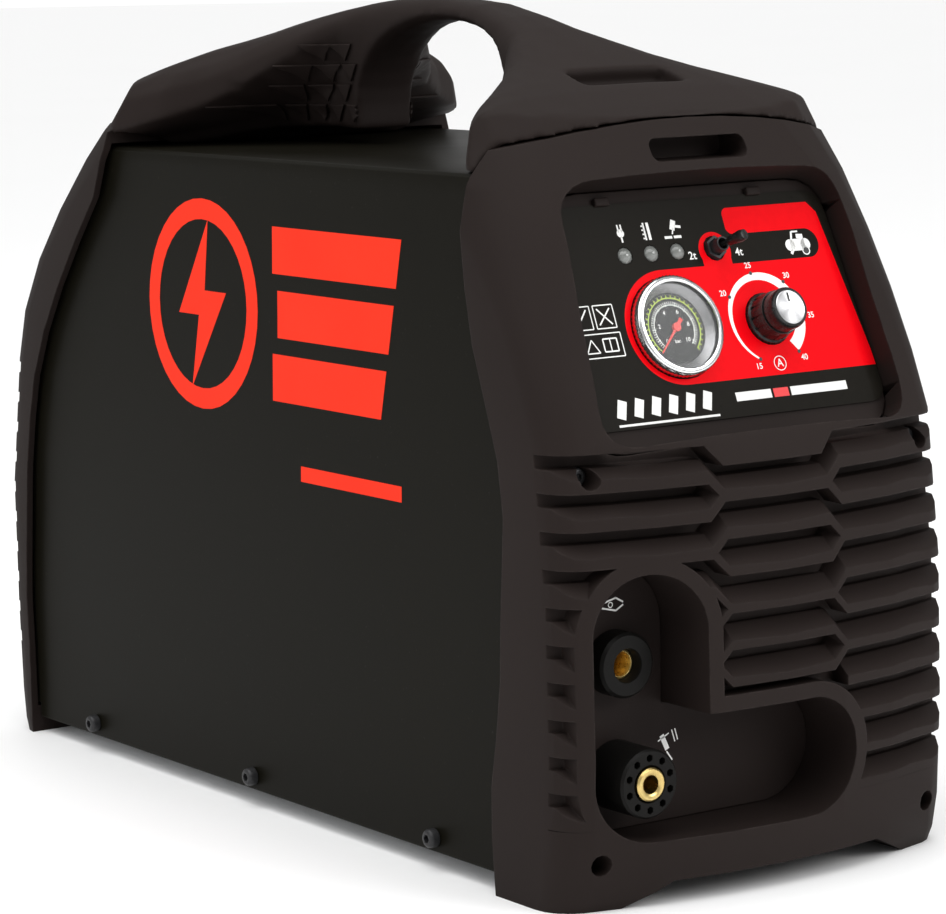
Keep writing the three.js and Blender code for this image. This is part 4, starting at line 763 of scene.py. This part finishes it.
KNURLS, KNURL_HEIGHT = 72, 0.35 * MM
ring = spun("rolled_ring", [
    (17.8, 5.6), (18.3, 6.0), (19.3, 6.0), (20.0, 5.6), (20.3, 5.0), (20.3, 0.6), (20.1, 0.36),
    (19.15, 0.36), (19.15, 5.0), (17.8, 5.0), (17.8, 5.6),
], KNURLS * 2, *GAUGE, "root", "gauge_ring", chrome)
inward = PANEL.inverted()
for vertex in ring.data.vertices:
    local = inward @ vertex.co
    x, v = local.x - GAUGE[0] * MM, local.z - GAUGE[1] * MM
    out = math.hypot(x, v)
    tooth = round(math.atan2(v, x) / math.pi * KNURLS) % 2
    if tooth and out > 20.2 * MM and -5.2 * MM < local.y < -0.5 * MM:
        grow = KNURL_HEIGHT / out
        vertex.co = PANEL @ Vector((local.x + x * grow, local.y, local.z + v * grow))
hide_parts("gauge_ring")
brushed = Finish("brushed_flange", rough=0.35, metal=1.0)
hairs = brushed.noise(700, 3.0)
brushed.feed("Base Color", brushed.mix(hairs, (0.16, 0.16, 0.165), (0.40, 0.40, 0.41)))
brushed.feed("Roughness", 0.28 + hairs * 0.2)
brushed.relief(hairs, 0.2, 0.00005)
spun("dial_flange", [(14.6, 0.75), (14.9, 1.2), (17.5, 3.4), (17.75, 3.4), (17.75, 0.75), (14.6, 0.75)],
     96, *GAUGE, "root", "gauge_ring", brushed)


# ---- current knob ----
# A black fluted phenolic skirt round a turned aluminium cap with a black pointer line. The cap's
# turned face shows fine rings; the bright and dark sectors round it are painted reflections of the lights.
phenolic = Finish("knob_phenolic", rough=0.25, Specular_IOR_Level=0.35)
swirl = phenolic.noise(300, 3.0)
phenolic.feed("Base Color", phenolic.mix(swirl, (0.006, 0.006, 0.006), (0.013, 0.013, 0.013)))
phenolic.feed("Roughness", 0.2 + swirl * 0.16)
phenolic.relief(swirl, 0.1, 0.00005, 0.0003)
wears(phenolic, smoothed("current_knob_skirt", "current_knob", 30))

spun_metal = Finish("turned_aluminium", rough=0.3, metal=1.0)
lathe = spun_metal.noise(900, 2.0)
spun_metal.feed("Roughness", 0.24 + lathe * 0.14)
KNOB = (25.0, 43.0)
cap_x, cap_v = on_panel(spun_metal, *KNOB)
cap_radius = (cap_x ** 2 + cap_v ** 2) ** 0.5
grooves = spun_metal.maths("SINE", cap_radius * 22)
# painted sheen: bright and dark sectors by angle round the cap, painted reflections; the lathe noise adds
# random tone
painted_sheen_sectors = spun_metal.maths("SINE", spun_metal.maths("ARCTAN2", cap_x, cap_v) * 4 + 0.8) * 0.5 + 0.5
spun_metal.feed("Base Color", spun_metal.mix(
    spun_metal.clamp(painted_sheen_sectors * 0.8 + lathe * 0.3), (0.34, 0.34, 0.35), (0.86, 0.86, 0.87)))
spun_metal.relief(grooves, 0.25, 0.00003)
crown = spun("knob_crown", [
    (0, 15.4), (7.1, 15.4), (7.2, 16.1), (7.5, 16.35), (8.0, 16.2), (8.4, 15.6), (8.6, 14.6),
    (8.6, 9.86), (0, 9.86),
], 64, *KNOB, "current_knob", "knob_black", phenolic)
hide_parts("current_knob_cap")
spun("turned_cap", [(0, 16.35), (6.3, 16.35), (6.7, 16.5), (7.0, 16.3), (7.05, 15.45), (0, 15.45)],
     64, *KNOB, "current_knob", "spun_aluminium", spun_metal)
cap_line = marks("cap_line", [("line", KNOB[0], KNOB[1] + 2.2, KNOB[0], KNOB[1] + 6.0, 0.9)],
                 ink_black, PANEL, -16.37 * MM, "spun_aluminium")
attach(cap_line, "current_knob")

plated = Finish("plated_steel", rough=0.3, metal=1.0)
dulled = plated.noise(400, 3.0)
plated.feed("Base Color", plated.mix(dulled, (0.48, 0.48, 0.49), (0.70, 0.70, 0.72)))
plated.feed("Roughness", 0.22 + dulled * 0.2)
plated.relief(dulled, 0.08, 0.00004, 0.0002)
wears(plated, "current_potentiometer")
wears(oxide, "toggle_nut", "toggle_body")


# ---- toggle lever ----
# A moulded black bat handle that leaves the threaded bush, thin at its root and round at its end.
wears(phenolic, smoothed("toggle_lever", "toggle", 60))


# ---- pilot lamps ----
# Three light-emitting diodes in water-clear grey domes, unlit.
dome = Finish("lamp_dome", rough=0.15, Coat_Weight=0.5, Coat_Roughness=0.05)
clouded = dome.noise(420, 3.0)
dome.feed("Base Color", dome.mix(clouded, (0.13, 0.135, 0.13), (0.24, 0.25, 0.235)))
dome.feed("Roughness", 0.1 + clouded * 0.15)
for lamp in ("power", "thermal", "torch"):
    wears(dome, smoothed(f"lamp_{lamp}", "root", 60))


# ---- rear fittings ----
# A steel plate in the bay of the rear bezel holds the mains switch, the cable gland and the
# regulator, whose knob is fluted. The plate is black; the fittings are glass-filled mouldings.
bay = Finish("bay_plate", rough=0.4, metal=0.2)
bay_grain = bay.noise(500, 3.0)
bay.feed("Base Color", bay.mix(bay_grain, (0.012, 0.012, 0.011), (0.028, 0.028, 0.026)))
bay.feed("Roughness", 0.32 + bay_grain * 0.2)
bay.relief(bay_grain, 0.12, 0.00006, 0.0005)
wears(bay, "rear_plate")
rubbery = Finish("fitting_plastic", rough=0.5)
pits = rubbery.noise(800, 3.0)
rubbery.feed("Base Color", rubbery.mix(pits, (0.011, 0.011, 0.011), (0.026, 0.025, 0.025)))
rubbery.feed("Roughness", 0.42 + pits * 0.2)
rubbery.relief(pits, 0.2, 0.00006, 0.0005)
wears(rubbery, "mains_switch_housing", smoothed("cable_gland_body", "root"),
      smoothed("cable_gland_nut", "root"),
      smoothed("regulator_knob", "air_knob"))
rocker_red = Finish("rocker_red", rough=0.35)
polish = rocker_red.noise(400, 3.0)
rocker_red.feed("Base Color", rocker_red.mix(polish, (0.42, 0.006, 0.004), (0.55, 0.012, 0.008)))
rocker_red.feed("Roughness", 0.26 + polish * 0.2)
rocker_red.relief(polish, 0.08, 0.00004, 0.0006)
wears(rocker_red, "mains_rocker")


# ---- fan, compressor and power stage ----
# What stands inside the cover: a black plastic fan, die-cast compressor, wound iron, copper wire
# and green circuit boards. Little of it shows through the slots.
wears(rubbery, "fan_frame", "fan_rotor")
cast = Finish("die_casting", rough=0.5, metal=0.9)
skin = cast.noise(240, 4.0, 0.7)
cast.feed("Base Color", cast.mix(skin, (0.34, 0.34, 0.34), (0.55, 0.55, 0.54)))
cast.feed("Roughness", 0.4 + skin * 0.25)
cast.relief(skin, 0.3, 0.0002, 0.0006)
wears(cast, "compressor_crankcase", "compressor_head", "heat_sink", "regulator_body")
wears(connector_black, "compressor_motor")
wears(rubbery, "compressor_flywheel")
copper = Finish("wound_copper", rough=0.35, metal=0.9)
strands = copper.node("ShaderNodeTexWave", {"bands_direction": "Z"}, {
    "Vector": copper.place, "Scale": 160.0, "Distortion": 1.0})
strand = Value(copper, strands.outputs["Fac"])
copper.feed("Base Color", copper.mix(strand, (0.30, 0.10, 0.035), (0.62, 0.27, 0.12)))
copper.feed("Roughness", 0.28 + strand * 0.2)
copper.relief(strand, 0.5, 0.0004)
wears(copper, "transformer", "choke")
board = Finish("circuit_board", rough=0.4)
traces = board.noise(180, 1.0)
board.feed("Base Color", board.mix(
    board.clamp((traces - 0.5) * 20), (0.006, 0.070, 0.022), (0.012, 0.120, 0.040)))
board.feed("Roughness", 0.34 + traces * 0.16)
board.relief(traces, 0.2, 0.0001)
wears(board, "power_board", "control_board")
sleeve = Finish("capacitor_sleeve", rough=0.3)
shrink = sleeve.noise(90, 3.0)
sleeve.feed("Base Color", sleeve.mix(shrink, (0.012, 0.018, 0.055), (0.020, 0.030, 0.085)))
sleeve.feed("Roughness", 0.24 + shrink * 0.16)
sleeve.relief(shrink, 0.1, 0.0002)
wears(sleeve, "capacitor_bank")
wears(brass, "solenoid_valve")


# ---- floor and light ----
# A plain white floor under a broad soft sun, with soft boxes overhead, to the left and in front.
# The air is brighter to the camera than to the object, so that black surfaces stay black.
floor_white = Finish("studio_floor", (0.93, 0.93, 0.93), 0.6)
floor_white.feed("Roughness", 0.55 + floor_white.noise(3, 2.0) * 0.1)
bpy.ops.object.select_all(action="DESELECT")
bpy.ops.mesh.primitive_plane_add(size=80)
floor = bpy.context.object
floor.name = "studio_floor"
wears(floor_white, floor)

AIR_ON_OBJECT, AIR_SEEN = 0.5, 1.02
scene = bpy.context.scene
scene.view_settings.view_transform = "Standard"
world = bpy.data.worlds.new("studio_air")
scene.world = world
world.use_nodes = True
air = world.node_tree
air.nodes["Background"].inputs["Color"].default_value = (1, 1, 1, 1)
seen = air.nodes.new("ShaderNodeLightPath")
strength = air.nodes.new("ShaderNodeMapRange")
strength.inputs["To Min"].default_value = AIR_ON_OBJECT
strength.inputs["To Max"].default_value = AIR_SEEN
air.links.new(seen.outputs["Is Camera Ray"], strength.inputs["Value"])
air.links.new(strength.outputs["Result"], air.nodes["Background"].inputs["Strength"])


def softbox(name, place, target, power, width, depth):
    """A rectangular light that stands at one place and looks at another."""
    light = bpy.data.lights.new(name, "AREA")
    light.shape = "RECTANGLE"
    light.energy = power
    light.size = width
    light.size_y = depth
    box = bpy.data.objects.new(name, light)
    scene.collection.objects.link(box)
    aim = (Vector(target) - Vector(place)).to_track_quat("-Z", "Y")
    box.matrix_world = Matrix.Translation(place) @ aim.to_matrix().to_4x4()


noon = bpy.data.lights.new("noon", "SUN")
noon.energy = 1.9
noon.angle = math.radians(70)
high = bpy.data.objects.new("noon", noon)
scene.collection.objects.link(high)
high.rotation_euler = (math.radians(8), math.radians(-12), 0)
softbox("overhead", (-0.3, 0.1, 1.9), (0, 0, 0.15), 10, 1.6, 1.6)
softbox("side", (-2.0, -0.2, 1.5), (0, 0, 0.18), 9, 1.2, 1.2)
softbox("front", (0.9, -1.9, 1.2), (0, -0.1, 0.18), 22, 1.2, 1.0)


# ---- camera ----
# A long lens, a little above the fascia and to the left of the front, rolled by about a degree.
camera = bpy.data.cameras.new("camera")
camera.lens = 138.44
camera.sensor_width = 36
camera.clip_end = 20
stand = bpy.data.objects.new("camera", camera)
scene.collection.objects.link(stand)
yaw, pitch, roll = (math.radians(angle) for angle in (34.749, 8.248, -1.163))
ahead = Vector((math.sin(yaw) * math.cos(pitch), math.cos(yaw) * math.cos(pitch), -math.sin(pitch)))
level = Vector((math.cos(yaw), -math.sin(yaw), 0))
upright = level.cross(ahead)
right = level * math.cos(roll) + upright * math.sin(roll)
above = upright * math.cos(roll) - level * math.sin(roll)
grid = Matrix((right, above, -ahead)).transposed().to_4x4()
stand.matrix_world = Matrix.Translation((-0.8957, -1.3127, 0.3761)) @ grid
scene.camera = stand
